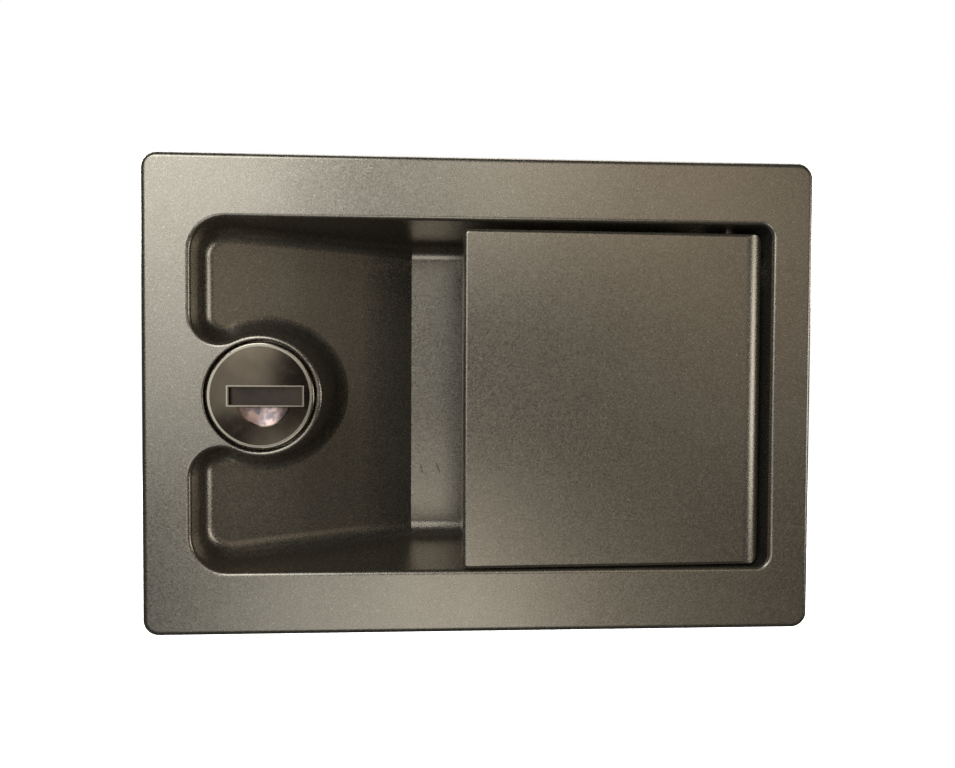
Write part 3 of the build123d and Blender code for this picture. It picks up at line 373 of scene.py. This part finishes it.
@dataclass(frozen=True)
class BronzePaint:
    """Satin metallic paint with fine flakes, a little orange peel and a lighter bezel edge, partly paint wear and
    partly a painted edge highlight.
    """

    name: str = "bronze_paint"
    shade: Colour = (0.336, 0.294, 0.229)
    dark_flake: Colour = (0.250, 0.217, 0.167)
    bright_flake: Colour = (0.56, 0.505, 0.41)
    # Lighter tone, for random clouds and for the edge band that is partly paint wear and partly a painted edge
    # highlight.
    lighter_paint: Colour = (0.43, 0.395, 0.32)
    scratched: Colour = (0.055, 0.048, 0.038)
    metallic: float = 0.86
    roughness: float = 0.29
    flake_rough: float = 0.08
    sheen_rough: float = 0.05
    flake: float = 0.18 * MM
    bright_above: float = 0.95
    bright_share: float = 0.5
    sheen: float = 0.5 * MM
    peel: float = 0.9 * MM
    relief: float = 0.02 * MM
    flake_bump: float = 0.24
    peel_bump: float = 0.08
    cloud: float = 9.0 * MM
    cloud_share: float = 0.12
    # Width and strength of the lighter edge band: partly paint wear, partly a painted edge highlight.
    edge_band_width: float = 0.9 * MM
    edge_wear_and_highlight_share: float = 0.5
    front_depths: tuple[float, float] = (-0.6 * MM, -1.6 * MM)
    scratch_share: float = 0.8
    coat: float = 0.12
    coat_rough: float = 0.32
    scratches: tuple[Mark, ...] = (
        Mark(-7.75 * MM, -15.9 * MM, 0.20 * MM, 1.5 * MM, FLOOR_DEPTHS, 0.33),
        Mark(-11.2 * MM, -16.1 * MM, 0.17 * MM, 1.1 * MM, FLOOR_DEPTHS, 0.28),
    )
    speck: Mark = Mark(45.9 * MM, 7.7 * MM, 0.22 * MM, 0.22 * MM, FACE_DEPTHS)

    def material(self) -> bpy.types.Material:
        """Builds the material."""
        board = Board.of_material(self.name)
        place = board.place()
        flakes = board.flakes(place, self.flake)
        clouds = board.noise(place, self.cloud, 3.0)
        sheen = board.noise(place, self.sheen, 2.0)
        tone = self.tone(board, board.axes(place), flakes, clouds)
        rough = (self.roughness + (flakes - 0.5) * self.flake_rough
                 + (sheen - 0.5) * self.sheen_rough)
        normal = board.bump(flakes * 0.7 + sheen * 0.3, self.flake_bump, self.relief)
        normal = board.bump(board.noise(place, self.peel, 1.0), self.peel_bump, self.relief, normal)
        return board.finish(Base_Color=tone, Metallic=self.metallic, Roughness=rough, Normal=normal,
                            Coat_Weight=self.coat, Coat_Roughness=self.coat_rough)

    def tone(self, board: Board, axes: tuple[Value, Value, Value], flakes: Value,
             clouds: Value) -> Value:
        """The paint's colour with its flakes, lighter edges (partly wear, partly a painted edge highlight) and
        marks.

        Args:
            board: The material's board.
            axes: The three parts of the place on the surface.
            flakes: A random number for each flake.
            clouds: Wide soft noise.

        Returns:
            The colour.
        """
        tone = board.blend(flakes.step(0.05, self.bright_above), self.dark_flake, self.shade)
        bright = flakes.step(self.bright_above, 0.99) * self.bright_share
        tone = board.blend(bright, tone, self.bright_flake)
        tone = board.blend(clouds.step(0.35, 0.75) * self.cloud_share, tone, self.lighter_paint)
        # Lighter outer bezel edge: partly paint wear, partly a painted edge highlight.
        tone = board.blend(self.edge_wear_and_highlight(axes, clouds) * self.edge_wear_and_highlight_share, tone, self.lighter_paint)
        for scratch in self.scratches:
            tone = board.blend(scratch.mask(axes) * self.scratch_share, tone, self.scratched)
        return board.blend(self.speck.mask(axes), tone, self.bright_flake)

    def edge_wear_and_highlight(self, axes: tuple[Value, Value, Value], clouds: Value) -> Value:
        """Where the bezel's outer edge is lighter: partly paint wear, partly a painted edge highlight.

        Args:
            axes: The three parts of the place on the surface.
            clouds: Wide soft noise that breaks the lighter edge up.

        Returns:
            1 on the lighter edge and 0 elsewhere.
        """
        x, y, z = axes
        half_x, _, half_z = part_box("housing")[1]
        edge_x = abs(x).step(half_x - self.edge_band_width, half_x)
        edge_z = abs(z).step(half_z - self.edge_band_width, half_z)
        return edge_x.most(edge_z) * y.step(*self.front_depths) * clouds.step(0.3, 0.6)


@dataclass(frozen=True)
class MouldedRubber:
    """Matte black rubber with a faint moulded grain and dust."""

    name: str = "black_rubber"
    shade: Colour = (0.018, 0.018, 0.019)
    dust: Colour = (0.075, 0.072, 0.068)
    dust_share: float = 0.5
    patch: float = 5.0 * MM
    grain: float = 0.35 * MM
    relief: float = 0.06 * MM
    grain_bump: float = 0.5
    roughness: float = 0.62
    grain_rough: float = 0.28

    def material(self) -> bpy.types.Material:
        """Builds the material."""
        board = Board.of_material(self.name)
        place = board.place()
        grain = board.noise(place, self.grain, 4.0)
        patches = board.noise(place, self.patch, 4.0)
        tone = board.blend(patches.step(0.45, 0.8) * self.dust_share, self.shade, self.dust)
        return board.finish(Base_Color=tone, Roughness=self.roughness + grain * self.grain_rough,
                            Normal=board.bump(grain, self.grain_bump, self.relief))


@dataclass(frozen=True)
class PlatedSteel:
    """Steel or zinc plate with rolling marks, a cloudy passivation and fine scratches."""

    name: str
    shade: Colour
    cloud: Colour
    roughness: float
    grain_axis: Point = (1.0, 1.0, 1.0)
    grain: float = 0.25 * MM
    streak: float = 14.0
    metallic: float = 1.0
    relief: float = 0.012 * MM
    rolled_bump: float = 0.55
    rolled_rough: float = 0.22
    cloud_size: float = 6.0 * MM
    cloud_rough: float = 0.10
    spot: float = 0.9 * MM
    spot_dark: float = 0.62
    spot_share: float = 0.35

    def material(self) -> bpy.types.Material:
        """Builds the material."""
        board = Board.of_material(self.name)
        place = board.place()
        squeeze = tuple(1.0 / self.streak if along else 1.0 for along in self.grain_axis)
        rolled = board.noise(board.stretched(place, squeeze), self.grain, 3.0)
        clouds = board.noise(place, self.cloud_size, 4.0)
        spots = board.noise(place, self.spot, 2.0).step(0.62, 0.78)
        tone = board.blend(clouds.step(0.32, 0.72), self.shade, self.cloud)
        darker = tuple(part * self.spot_dark for part in self.shade)
        tone = board.blend(spots * self.spot_share, tone, darker)
        rough = (self.roughness + (rolled - 0.5) * self.rolled_rough
                 + clouds * self.cloud_rough)
        return board.finish(Base_Color=tone, Metallic=self.metallic, Roughness=rough,
                            Normal=board.bump(rolled, self.rolled_bump, self.relief))


@dataclass(frozen=True)
class PolishedNickel:
    """Smoky polished nickel, with painted reflections that make the rim, the slot's frame and the dish below the
    slot lighter.
    """

    name: str = "nickel"
    shade: Colour = (0.104, 0.080, 0.055)
    smoke: Colour = (0.078, 0.061, 0.043)
    # Painted reflections: the lighter rim and frame tone and the reddish, mottled dish tones stand in for the room
    # mirrored in one plating.
    rim: Colour = (0.33, 0.285, 0.215)
    dish: Colour = (0.36, 0.245, 0.205)
    dish_reflection_dark: Colour = (0.15, 0.125, 0.125)
    roughness: float = 0.17
    smear_rough: float = 0.10
    hairline_rough: float = 0.03
    dish_rough: float = 0.12
    cloud: float = 4.5 * MM
    smear: float = 1.6 * MM
    smear_bump: float = 0.10
    smear_relief: float = 0.02 * MM
    hairline: float = 0.14 * MM
    hairline_bump: float = 0.12
    hairline_relief: float = 0.004 * MM
    hairline_stretch: Point = (0.06, 1.0, 1.0)
    cap_r: float = 8.68 * MM
    rim_soft: float = 0.05 * MM
    frame_x: float = -38.45 * MM
    frame_y: float = -3.89 * MM
    frame_half: tuple[float, float] = (6.75 * MM, 1.85 * MM)
    frame_soft: float = 0.02 * MM
    line_x: tuple[float, float] = (0.27 * MM, 0.19 * MM)
    line_z: tuple[float, float] = (0.20 * MM, 0.13 * MM)
    dish_place: tuple[float, float] = (-38.75 * MM, -0.66 * MM)
    dish_r: float = 5.2 * MM
    dish_depths: tuple[float, float] = (-3.66 * MM, -3.58 * MM)
    dish_top: float = -1.6 * MM
    dish_soft: float = 0.1 * MM

    def material(self) -> bpy.types.Material:
        """Builds the material."""
        board = Board.of_material(self.name)
        place = board.place()
        axes = board.axes(place)
        clouds = board.noise(place, self.cloud, 3.0)
        smears = board.noise(place, self.smear, 4.0)
        hairline = board.noise(board.stretched(place, self.hairline_stretch), self.hairline, 2.0)
        dish_reflection_mask = self.dish_reflection_mask(axes)
        tone = board.blend(clouds.step(0.3, 0.7), self.shade, self.smoke)
        # Painted reflections: a lighter tone on the rim and the slot's frame, a reddish mottled one in the dish.
        tone = board.blend(self.rim_reflection_mask(axes).most(self.frame_reflection_mask(axes)), tone, self.rim)
        mottled = board.blend(smears.step(0.38, 0.62), self.dish, self.dish_reflection_dark)
        tone = board.blend(dish_reflection_mask, tone, mottled)
        rough = (self.roughness + smears.step(0.5, 0.85) * self.smear_rough
                 + (hairline - 0.5) * self.hairline_rough + dish_reflection_mask * self.dish_rough)
        normal = board.bump(smears, self.smear_bump, self.smear_relief)
        normal = board.bump(hairline, self.hairline_bump, self.hairline_relief, normal)
        return board.finish(Base_Color=tone, Metallic=1.0, Roughness=rough, Normal=normal)

    def rim_reflection_mask(self, axes: tuple[Value, Value, Value]) -> Value:
        """1 outside the turning cap, on the barrel's rim, where a lighter painted reflection goes, and 0 on the
        cap.
        """
        x, _, z = axes
        radius = ((x - LOCK_X) ** 2 + z**2) ** 0.5
        return radius.step(self.cap_r - self.rim_soft, self.cap_r + self.rim_soft)

    def frame_reflection_mask(self, axes: tuple[Value, Value, Value]) -> Value:
        """1 on the outer line of the raised frame round the slot, where a lighter painted reflection goes, and 0
        elsewhere.
        """
        x, y, z = axes
        raised = y.step(self.frame_y + self.frame_soft, self.frame_y - self.frame_soft)
        half_x, half_z = self.frame_half
        outer_x = abs(x - self.frame_x).step(*(half_x - inset for inset in self.line_x))
        outer_z = abs(z).step(*(half_z - inset for inset in self.line_z))
        return raised * outer_x.most(outer_z)

    def dish_reflection_mask(self, axes: tuple[Value, Value, Value]) -> Value:
        """1 in the half-moon dish below the slot, where a reddish mottled painted reflection goes and the finish
        is rougher, and 0 elsewhere.
        """
        x, y, z = axes
        dish_x, dish_z = self.dish_place
        radius = ((x - dish_x) ** 2 + (z - dish_z) ** 2) ** 0.5
        round_dish = radius.step(self.dish_r + self.dish_soft, self.dish_r - self.dish_soft)
        below = z.step(self.dish_top + self.dish_soft, self.dish_top)
        return round_dish * y.step(*self.dish_depths) * below


def finishes() -> dict[str, bpy.types.Material]:
    """The material for each slot of the record.

    Returns:
        Material by slot name.
    """
    made = [
        BronzePaint(),
        MouldedRubber(),
        PlatedSteel("zinc_steel", (0.63, 0.64, 0.66), (0.52, 0.52, 0.51), 0.30, (0.0, 0.0, 1.0)),
        PlatedSteel("steel", (0.56, 0.56, 0.57), (0.47, 0.465, 0.455), 0.24, (0.0, 0.0, 1.0)),
        PlatedSteel("spring_steel", (0.42, 0.41, 0.40), (0.30, 0.29, 0.28), 0.26, grain=0.5 * MM),
        PlatedSteel("dark_steel", (0.068, 0.050, 0.039), (0.044, 0.033, 0.026), 0.30,
                    metallic=0.85, relief=0.02 * MM),
        PolishedNickel(),
        PlatedSteel("brass", (0.62, 0.50, 0.26), (0.50, 0.39, 0.20), 0.28, (0.0, 1.0, 0.0)),
    ]
    return {finish.name: finish.material() for finish in made}


# ---------------------------------------------------------------- mesh making


def shown(name: str, mesh: bmesh.types.BMesh, material: bpy.types.Material) -> bpy.types.Object:
    """Turns a bmesh into a smooth-shaded object.

    Args:
        name: The piece's name.
        mesh: Its mesh, which is freed.
        material: Its material.

    Returns:
        The new object.
    """
    bmesh.ops.recalc_face_normals(mesh, faces=mesh.faces)
    data = bpy.data.meshes.new(name)
    mesh.to_mesh(data)
    mesh.free()
    data.shade_smooth()
    data.materials.append(material)
    piece = bpy.data.objects.new(name, data)
    bpy.context.scene.collection.objects.link(piece)
    return piece


def add_rings(mesh: bmesh.types.BMesh, rings: Sequence[Sequence[Vector]]) -> None:
    """Skins a row of rings and closes both ends.

    Args:
        mesh: The mesh to add to.
        rings: The rings, all with the same number of points.
    """
    rows = [[mesh.verts.new(point) for point in ring] for ring in rings]
    count = len(rows[0])
    for row, after in zip(rows, rows[1:]):
        for i in range(count):
            j = (i + 1) % count
            mesh.faces.new((row[i], row[j], after[j], after[i]))
    mesh.faces.new(rows[0])
    mesh.faces.new(rows[-1])


def add_wire(mesh: bmesh.types.BMesh, path: Sequence[Vector], radius: float, sides: int) -> None:
    """Adds a round wire along a path.

    Args:
        mesh: The mesh to add to.
        path: The points of the wire's middle.
        radius: The wire's radius.
        sides: Number of sides of its section.
    """
    tangents = []
    for i, point in enumerate(path):
        before = path[max(i - 1, 0)]
        after = path[min(i + 1, len(path) - 1)]
        tangents.append((after - before).normalized())
    across = tangents[0].orthogonal().normalized()
    rings = []
    for i, (point, tangent) in enumerate(zip(path, tangents)):
        if i:
            across = tangents[i - 1].rotation_difference(tangent) @ across
        side = tangent.cross(across)
        turns = (2 * math.pi * k / sides for k in range(sides))
        rings.append([point + radius * (math.cos(a) * across + math.sin(a) * side)
                      for a in turns])
    add_rings(mesh, rings)


def rounded_path(corners: Sequence[Point], bend: float, steps: int = 6) -> list[Vector]:
    """A path through corners with the same bend at each.

    Args:
        corners: The path's corner points.
        bend: How far from a corner the bend starts.
        steps: Points in each bend.

    Returns:
        The points of the path.
    """
    points = [Vector(corner) for corner in corners]
    path = [points[0]]
    for before, corner, after in zip(points, points[1:], points[2:]):
        start = corner + (before - corner).normalized() * bend
        end = corner + (after - corner).normalized() * bend
        for k in range(steps + 1):
            t = k / steps
            path.append((1 - t) ** 2 * start + 2 * t * (1 - t) * corner + t**2 * end)
    path.append(points[-1])
    return path


THREAD_FLANK = 1.35
THREAD_ROOT = 0.2
ROWS_PER_PITCH = 7


def thread_wave(turn: float) -> float:
    """Height of a rolled thread through one turn, from 0 at the root to 1 at the crest."""
    saw = abs(2 * (turn % 1.0) - 1)
    return min(1.0, max(0.0, saw * THREAD_FLANK - THREAD_ROOT))


def add_threaded_rod(mesh: bmesh.types.BMesh, centre: tuple[float, float], ends: tuple[float, float],
                     radii: tuple[float, float], pitch: float, tip: float, sides: int) -> None:
    """Adds a rod along Y with a screw thread on it.

    Args:
        mesh: The mesh to add to.
        centre: X and Z of its axis.
        ends: Its first and last depth.
        radii: Root and crest radius of the thread.
        pitch: The thread's pitch.
        tip: Length of the bevel at the far end.
        sides: Number of points round the rod.
    """
    low, high = ends
    root, crest = radii
    rows = math.ceil((high - low) / pitch * ROWS_PER_PITCH)
    rings = []
    for i in range(rows + 1):
        y = low + (high - low) * i / rows
        bevel = root - tip + max(0.0, high - y)
        ring = []
        for k in range(sides):
            turn = k / sides
            r = min(root + (crest - root) * thread_wave(y / pitch - turn), bevel)
            angle = 2 * math.pi * turn
            across, up = r * math.cos(angle), r * math.sin(angle)
            ring.append(Vector((centre[0] + across, y, centre[1] + up)))
        rings.append(ring)
    add_rings(mesh, rings)


# ---------------------------------------------------------------- sub-assemblies


@dataclass
class BoltSprings:
    """The two compression springs behind the pan, with closed and ground end coils."""

    material: bpy.types.Material
    coil_r: float = 2.5 * MM
    wire_r: float = 0.45 * MM
    spring_z: float = 18.6 * MM
    turns: float = 9.0
    dead_turns: float = 1.2
    steps: int = 28
    sides: int = 10

    def path(self, x: tuple[float, float], y: float, z: float) -> list[Vector]:
        """The middle of one spring's wire.

        Args:
            x: Where the spring starts and ends.
            y: Depth of its axis.
            z: Height of its axis.

        Returns:
            The points of the wire's middle.
        """
        length = x[1] - x[0] - 2 * self.wire_r
        dead = self.dead_turns * 2 * self.wire_r
        live = self.turns - 2 * self.dead_turns
        count = round(self.turns * self.steps)
        points = []
        for i in range(count + 1):
            turn = self.turns * i / count
            if turn < self.dead_turns:
                along = turn * 2 * self.wire_r
            elif turn > self.turns - self.dead_turns:
                along = length - (self.turns - turn) * 2 * self.wire_r
            else:
                along = dead + (length - 2 * dead) * (turn - self.dead_turns) / live
            angle = 2 * math.pi * turn
            points.append(Vector((x[0] + self.wire_r + along,
                                  y + self.coil_r * math.cos(angle),
                                  z + self.coil_r * math.sin(angle))))
        return points

    def build(self) -> list[bpy.types.Object]:
        """Makes both springs.

        Returns:
            The springs.
        """
        low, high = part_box("bolt_springs")
        x = (low[0], high[0])
        y = (low[1] + high[1]) / 2
        pieces = []
        for name, side in (("bolt_spring_low", -1), ("bolt_spring_high", 1)):
            mesh = bmesh.new()
            add_wire(mesh, self.path(x, y, side * self.spring_z), self.wire_r, self.sides)
            piece = shown(name, mesh, self.material)
            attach(piece, Body.HOUSING.value)
            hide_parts("bolt_springs")
            side * self.spring_z
            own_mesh(piece)
            pieces.append(piece)
        return pieces


@dataclass
class HingeSpring:
    """Torsion spring on the hinge pin: a coil with a standing leg, and a leg that hooks the arm."""

    material: bpy.types.Material
    coil_r: float = 2.45 * MM
    wire_r: float = 0.45 * MM
    turns: float = 5.5
    pitch: float = 1.3 * MM
    start_z: float = 5.9 * MM
    leg_start: float = 0.3 * MM
    leg: float = 10.0 * MM
    lean: float = 1.9 * MM
    hook: float = 4.2 * MM
    bend: float = 1.0 * MM
    steps: int = 28
    sides: int = 10

    def build(self) -> list[bpy.types.Object]:
        """Makes the coil and the hooked leg.

        Returns:
            Both pieces.
        """
        x, y, _ = JOINTS["paddle_hinge"]["pos_m"]
        floor_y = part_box("paddle_spring")[1][1]
        coil = []
        count = round(self.turns * self.steps)
        for i in range(count + 1):
            turn = self.turns * i / count
            angle = math.pi + 2 * math.pi * turn
            coil.append(Vector((x + self.coil_r * math.cos(angle), y + self.coil_r * math.sin(angle),
                                self.start_z + self.pitch * turn)))
        top_z = self.start_z + self.pitch * self.turns
        standing = [Vector((x + self.coil_r, y + self.leg_start, top_z)),
                    Vector((x + self.coil_r, floor_y, top_z))]
        left = x - self.coil_r
        hooked = rounded_path(
            [(left, y, self.start_z), (left - self.lean, y + self.leg, self.start_z),
             (left - self.lean, y + self.leg, self.start_z - self.hook)], self.bend)
        pieces = []
        for name, path, body in (("hinge_spring_coil", coil + standing, Body.HOUSING),
                                 ("hinge_spring_hook", hooked, Body.PADDLE)):
            mesh = bmesh.new()
            add_wire(mesh, path, self.wire_r, self.sides)
            piece = shown(name, mesh, self.material)
            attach(piece, body.value)
            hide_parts("paddle_spring")
            pieces.append(piece)
        return pieces


@dataclass
class PanelStuds:
    """Four threaded studs behind the bezel, in place of the plain rods."""

    material: bpy.types.Material
    place: tuple[float, float] = (50.0 * MM, 37.25 * MM)
    crest: float = 2.0 * MM
    root: float = 1.62 * MM
    pitch: float = 0.7 * MM
    tip: float = 0.5 * MM
    sides: int = 24

    def build(self) -> list[bpy.types.Object]:
        """Makes the studs.

        Returns:
            One piece for each stud.
        """
        low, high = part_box("mounting_studs")
        pieces = []
        for side_x in (-1, 1):
            for side_z in (-1, 1):
                mesh = bmesh.new()
                centre = (side_x * self.place[0], side_z * self.place[1])
                add_threaded_rod(mesh, centre, (low[1], high[1]), (self.root, self.crest),
                                 self.pitch, self.tip, self.sides)
                corner = ("left" if side_x < 0 else "right") + ("_low" if side_z < 0 else "_high")
                piece = shown(f"panel_stud_{corner}", mesh, self.material)
                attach(piece, Body.HOUSING.value)
                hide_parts("mounting_studs")
                pieces.append(piece)
        return pieces


@dataclass
class BarrelThread:
    """The fine thread on the lock's barrel, where it stands out past its nut."""

    material: bpy.types.Material
    root: float = 7.9 * MM
    crest: float = 8.22 * MM
    pitch: float = 1.0 * MM
    seat: float = 0.05 * MM
    sides: int = 72

    def build(self) -> list[bpy.types.Object]:
        """Makes the thread.

        Returns:
            The one piece.
        """
        nut_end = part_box("lock_nut")[1][1]
        barrel_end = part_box("lock_barrel")[1][1]
        mesh = bmesh.new()
        add_threaded_rod(mesh, (LOCK_X, 0.0), (nut_end + self.seat, barrel_end - self.seat),
                         (self.root, self.crest), self.pitch, 0.0, self.sides)
        piece = shown("barrel_thread", mesh, self.material)
        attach(piece, Body.HOUSING.value)
        return [piece]


@dataclass
class FrameFinish:
    """Gives every carried-over solid the finish of its slot."""

    materials: Mapping[str, bpy.types.Material]

    def apply(self) -> None:
        """Puts the material of its slot on each solid."""
        slots = {part["node"]: part["material_slot"] for part in frame["record"]["subparts"]}
        for node, piece in frame["nodes"].items():
            slot = slots[node]
            piece.data.materials.clear()
            piece.data.materials.append(self.materials[slot])
            LOG.info("%s is finished in %s", node, slot)


# ---------------------------------------------------------------- studio


@dataclass
class SoftBox:
    """A rectangular soft light that looks at the latch."""

    name: str
    place: Point
    size: tuple[float, float]
    watts: float
    tint: Colour = WHITE
    aim: Point = (0.0, 0.0, 0.0)

    def build(self) -> None:
        """Adds the light."""
        lamp = bpy.data.lights.new(self.name, "AREA")
        lamp.shape = "RECTANGLE"
        lamp.size, lamp.size_y = self.size
        lamp.energy = self.watts
        lamp.color = self.tint
        light = bpy.data.objects.new(self.name, lamp)
        away = Vector(self.aim) - Vector(self.place)
        turn = away.to_track_quat("-Z", "Y").to_matrix().to_4x4()
        light.matrix_world = Matrix.Translation(self.place) @ turn
        light.visible_camera = False
        bpy.context.scene.collection.objects.link(light)


WARM = (1.0, 0.88, 0.74)
COOL = (0.94, 1.0, 1.06)


@dataclass
class Studio:
    """Plain pale floor, white surroundings and soft lights."""

    floor_z: float = -0.12
    floor_size: float = 6.0
    floor_cells: int = 8
    floor_rough: float = 0.9
    floor_shade: Colour = (0.86, 0.86, 0.86)
    floor_haze: Colour = (0.90, 0.90, 0.90)
    haze_size: float = 0.4
    surround: float = 0.03
    surround_tint: Colour = (1.0, 0.99, 0.97)
    wide: tuple[float, float] = (0.28, 0.28)
    small: tuple[float, float] = (0.14, 0.14)
    back: tuple[float, float] = (0.50, 0.40)

    def lights(self) -> list[SoftBox]:
        """The soft lights: a high and a low row in front, one at the right and three behind.

        Returns:
            The lights, not yet built.
        """
        return [
            SoftBox("key_top", (-0.25, -0.60, 0.42), self.wide, 1.16, COOL),
            SoftBox("key_high", (-0.25, -0.60, 0.24), self.wide, 0.43, COOL),
            SoftBox("key_middle", (-0.25, -0.60, 0.06), self.wide, 0.38, COOL),
            SoftBox("high_centre", (0.04, -0.60, 0.18), self.small, 0.094, COOL),
            SoftBox("high_right", (0.15, -0.60, 0.24), self.wide, 0.19, WARM),
            SoftBox("low_left", (-0.05, -0.60, -0.27), self.wide, 0.34, COOL),
            SoftBox("low_centre", (0.02, -0.60, -0.17), self.small, 0.040, WARM),
            SoftBox("low_front", (0.02, -0.60, -0.30), self.small, 0.022, COOL),
            SoftBox("low_right", (0.15, -0.60, -0.27), self.wide, 0.07, WARM),
            SoftBox("far_right", (0.35, -0.60, 0.06), self.wide, 0.088, WARM),
            SoftBox("side_right", (0.70, -0.25, 0.00), self.wide, 0.75),
            SoftBox("back_left", (-0.45, 0.55, 0.30), self.back, 5.0),
            SoftBox("back_right", (0.55, 0.45, 0.25), self.back, 4.0),
            SoftBox("back_top", (0.05, 0.40, 0.65), self.back, 1.8),
        ]

    def build(self) -> None:
        """Sets up everything round the latch."""
        self._floor()
        self._world()
        for light in self.lights():
            light.build()

    def _floor(self) -> None:
        """A wide pale floor, bright by itself, that neither lights nor shades the latch."""
        mesh = bmesh.new()
        bmesh.ops.create_grid(mesh, x_segments=self.floor_cells, y_segments=self.floor_cells,
                              size=self.floor_size / 2)
        board = Board.of_material("studio_floor")
        haze = board.noise(board.place(), self.haze_size, 2.0)
        tone = board.blend(haze, self.floor_shade, self.floor_haze)
        material = board.finish(Base_Color=tone, Roughness=self.floor_rough, Emission_Color=WHITE,
                                Emission_Strength=1.0)
        floor = shown("floor", mesh, material)
        floor.visible_diffuse = False
        floor.visible_glossy = False
        floor.visible_shadow = False
        floor.location.z = self.floor_z

    def _world(self) -> None:
        """Surroundings that are seen white and light the latch faintly."""
        world = bpy.data.worlds.new("studio")
        board = Board(world)
        around = board.make("ShaderNodeBackground", {},
                            {"Color": self.surround_tint, "Strength": self.surround})
        seen = board.make("ShaderNodeBackground", {}, {"Color": WHITE, "Strength": 1.0})
        from_camera = board.make("ShaderNodeLightPath", output="Is Camera Ray")
        mixed = board.make("ShaderNodeMixShader", {}, {0: from_camera, 1: around, 2: seen})
        board.add("ShaderNodeOutputWorld", {}, {"Surface": mixed})
        bpy.context.scene.world = world


@dataclass
class FrontCamera:
    """The camera in front of the latch, a little left of its middle."""

    place: Point = (-10.22 * MM, -154.81 * MM, 6.75 * MM)
    right: Point = (0.99819, -0.05992, 0.00532)
    up: Point = (-0.00353, 0.03005, 0.99954)
    lens: float = 32.04
    sensor: float = 36.0
    near: float = 0.005
    far: float = 20.0

    def build(self) -> None:
        """Adds the camera and makes it the scene's own."""
        lens = bpy.data.cameras.new("front_camera")
        lens.lens = self.lens
        lens.sensor_width = self.sensor
        lens.clip_start = self.near
        lens.clip_end = self.far
        camera = bpy.data.objects.new("front_camera", lens)
        across = Vector(self.right).normalized()
        back = across.cross(Vector(self.up)).normalized()
        over = back.cross(across)
        turn = Matrix((across, over, back)).transposed().to_4x4()
        camera.matrix_world = Matrix.Translation(self.place) @ turn
        bpy.context.scene.collection.objects.link(camera)
        bpy.context.scene.camera = camera


def report(pieces: Iterable[bpy.types.Object]) -> None:
    """Logs each new piece with the number of its faces."""
    for piece in pieces:
        LOG.info("%s has %d faces", piece.name, len(piece.data.polygons))


def main() -> None:
    """Builds the studio, dresses the frame and adds the pieces that replace plain solids."""
    logging.basicConfig(level=logging.INFO, format="%(name)s: %(message)s")
    bpy.context.scene.view_settings.view_transform = "Standard"
    FrontCamera().build()
    Studio().build()
    materials = finishes()
    FrameFinish(materials).apply()
    report(BoltSprings(materials[Slot.SPRING_STEEL.value]).build())
    report(HingeSpring(materials[Slot.SPRING_STEEL.value]).build())
    report(PanelStuds(materials[Slot.ZINC_STEEL.value]).build())
    report(BarrelThread(materials[Slot.NICKEL.value]).build())


if __name__ == "__main__":
    main()
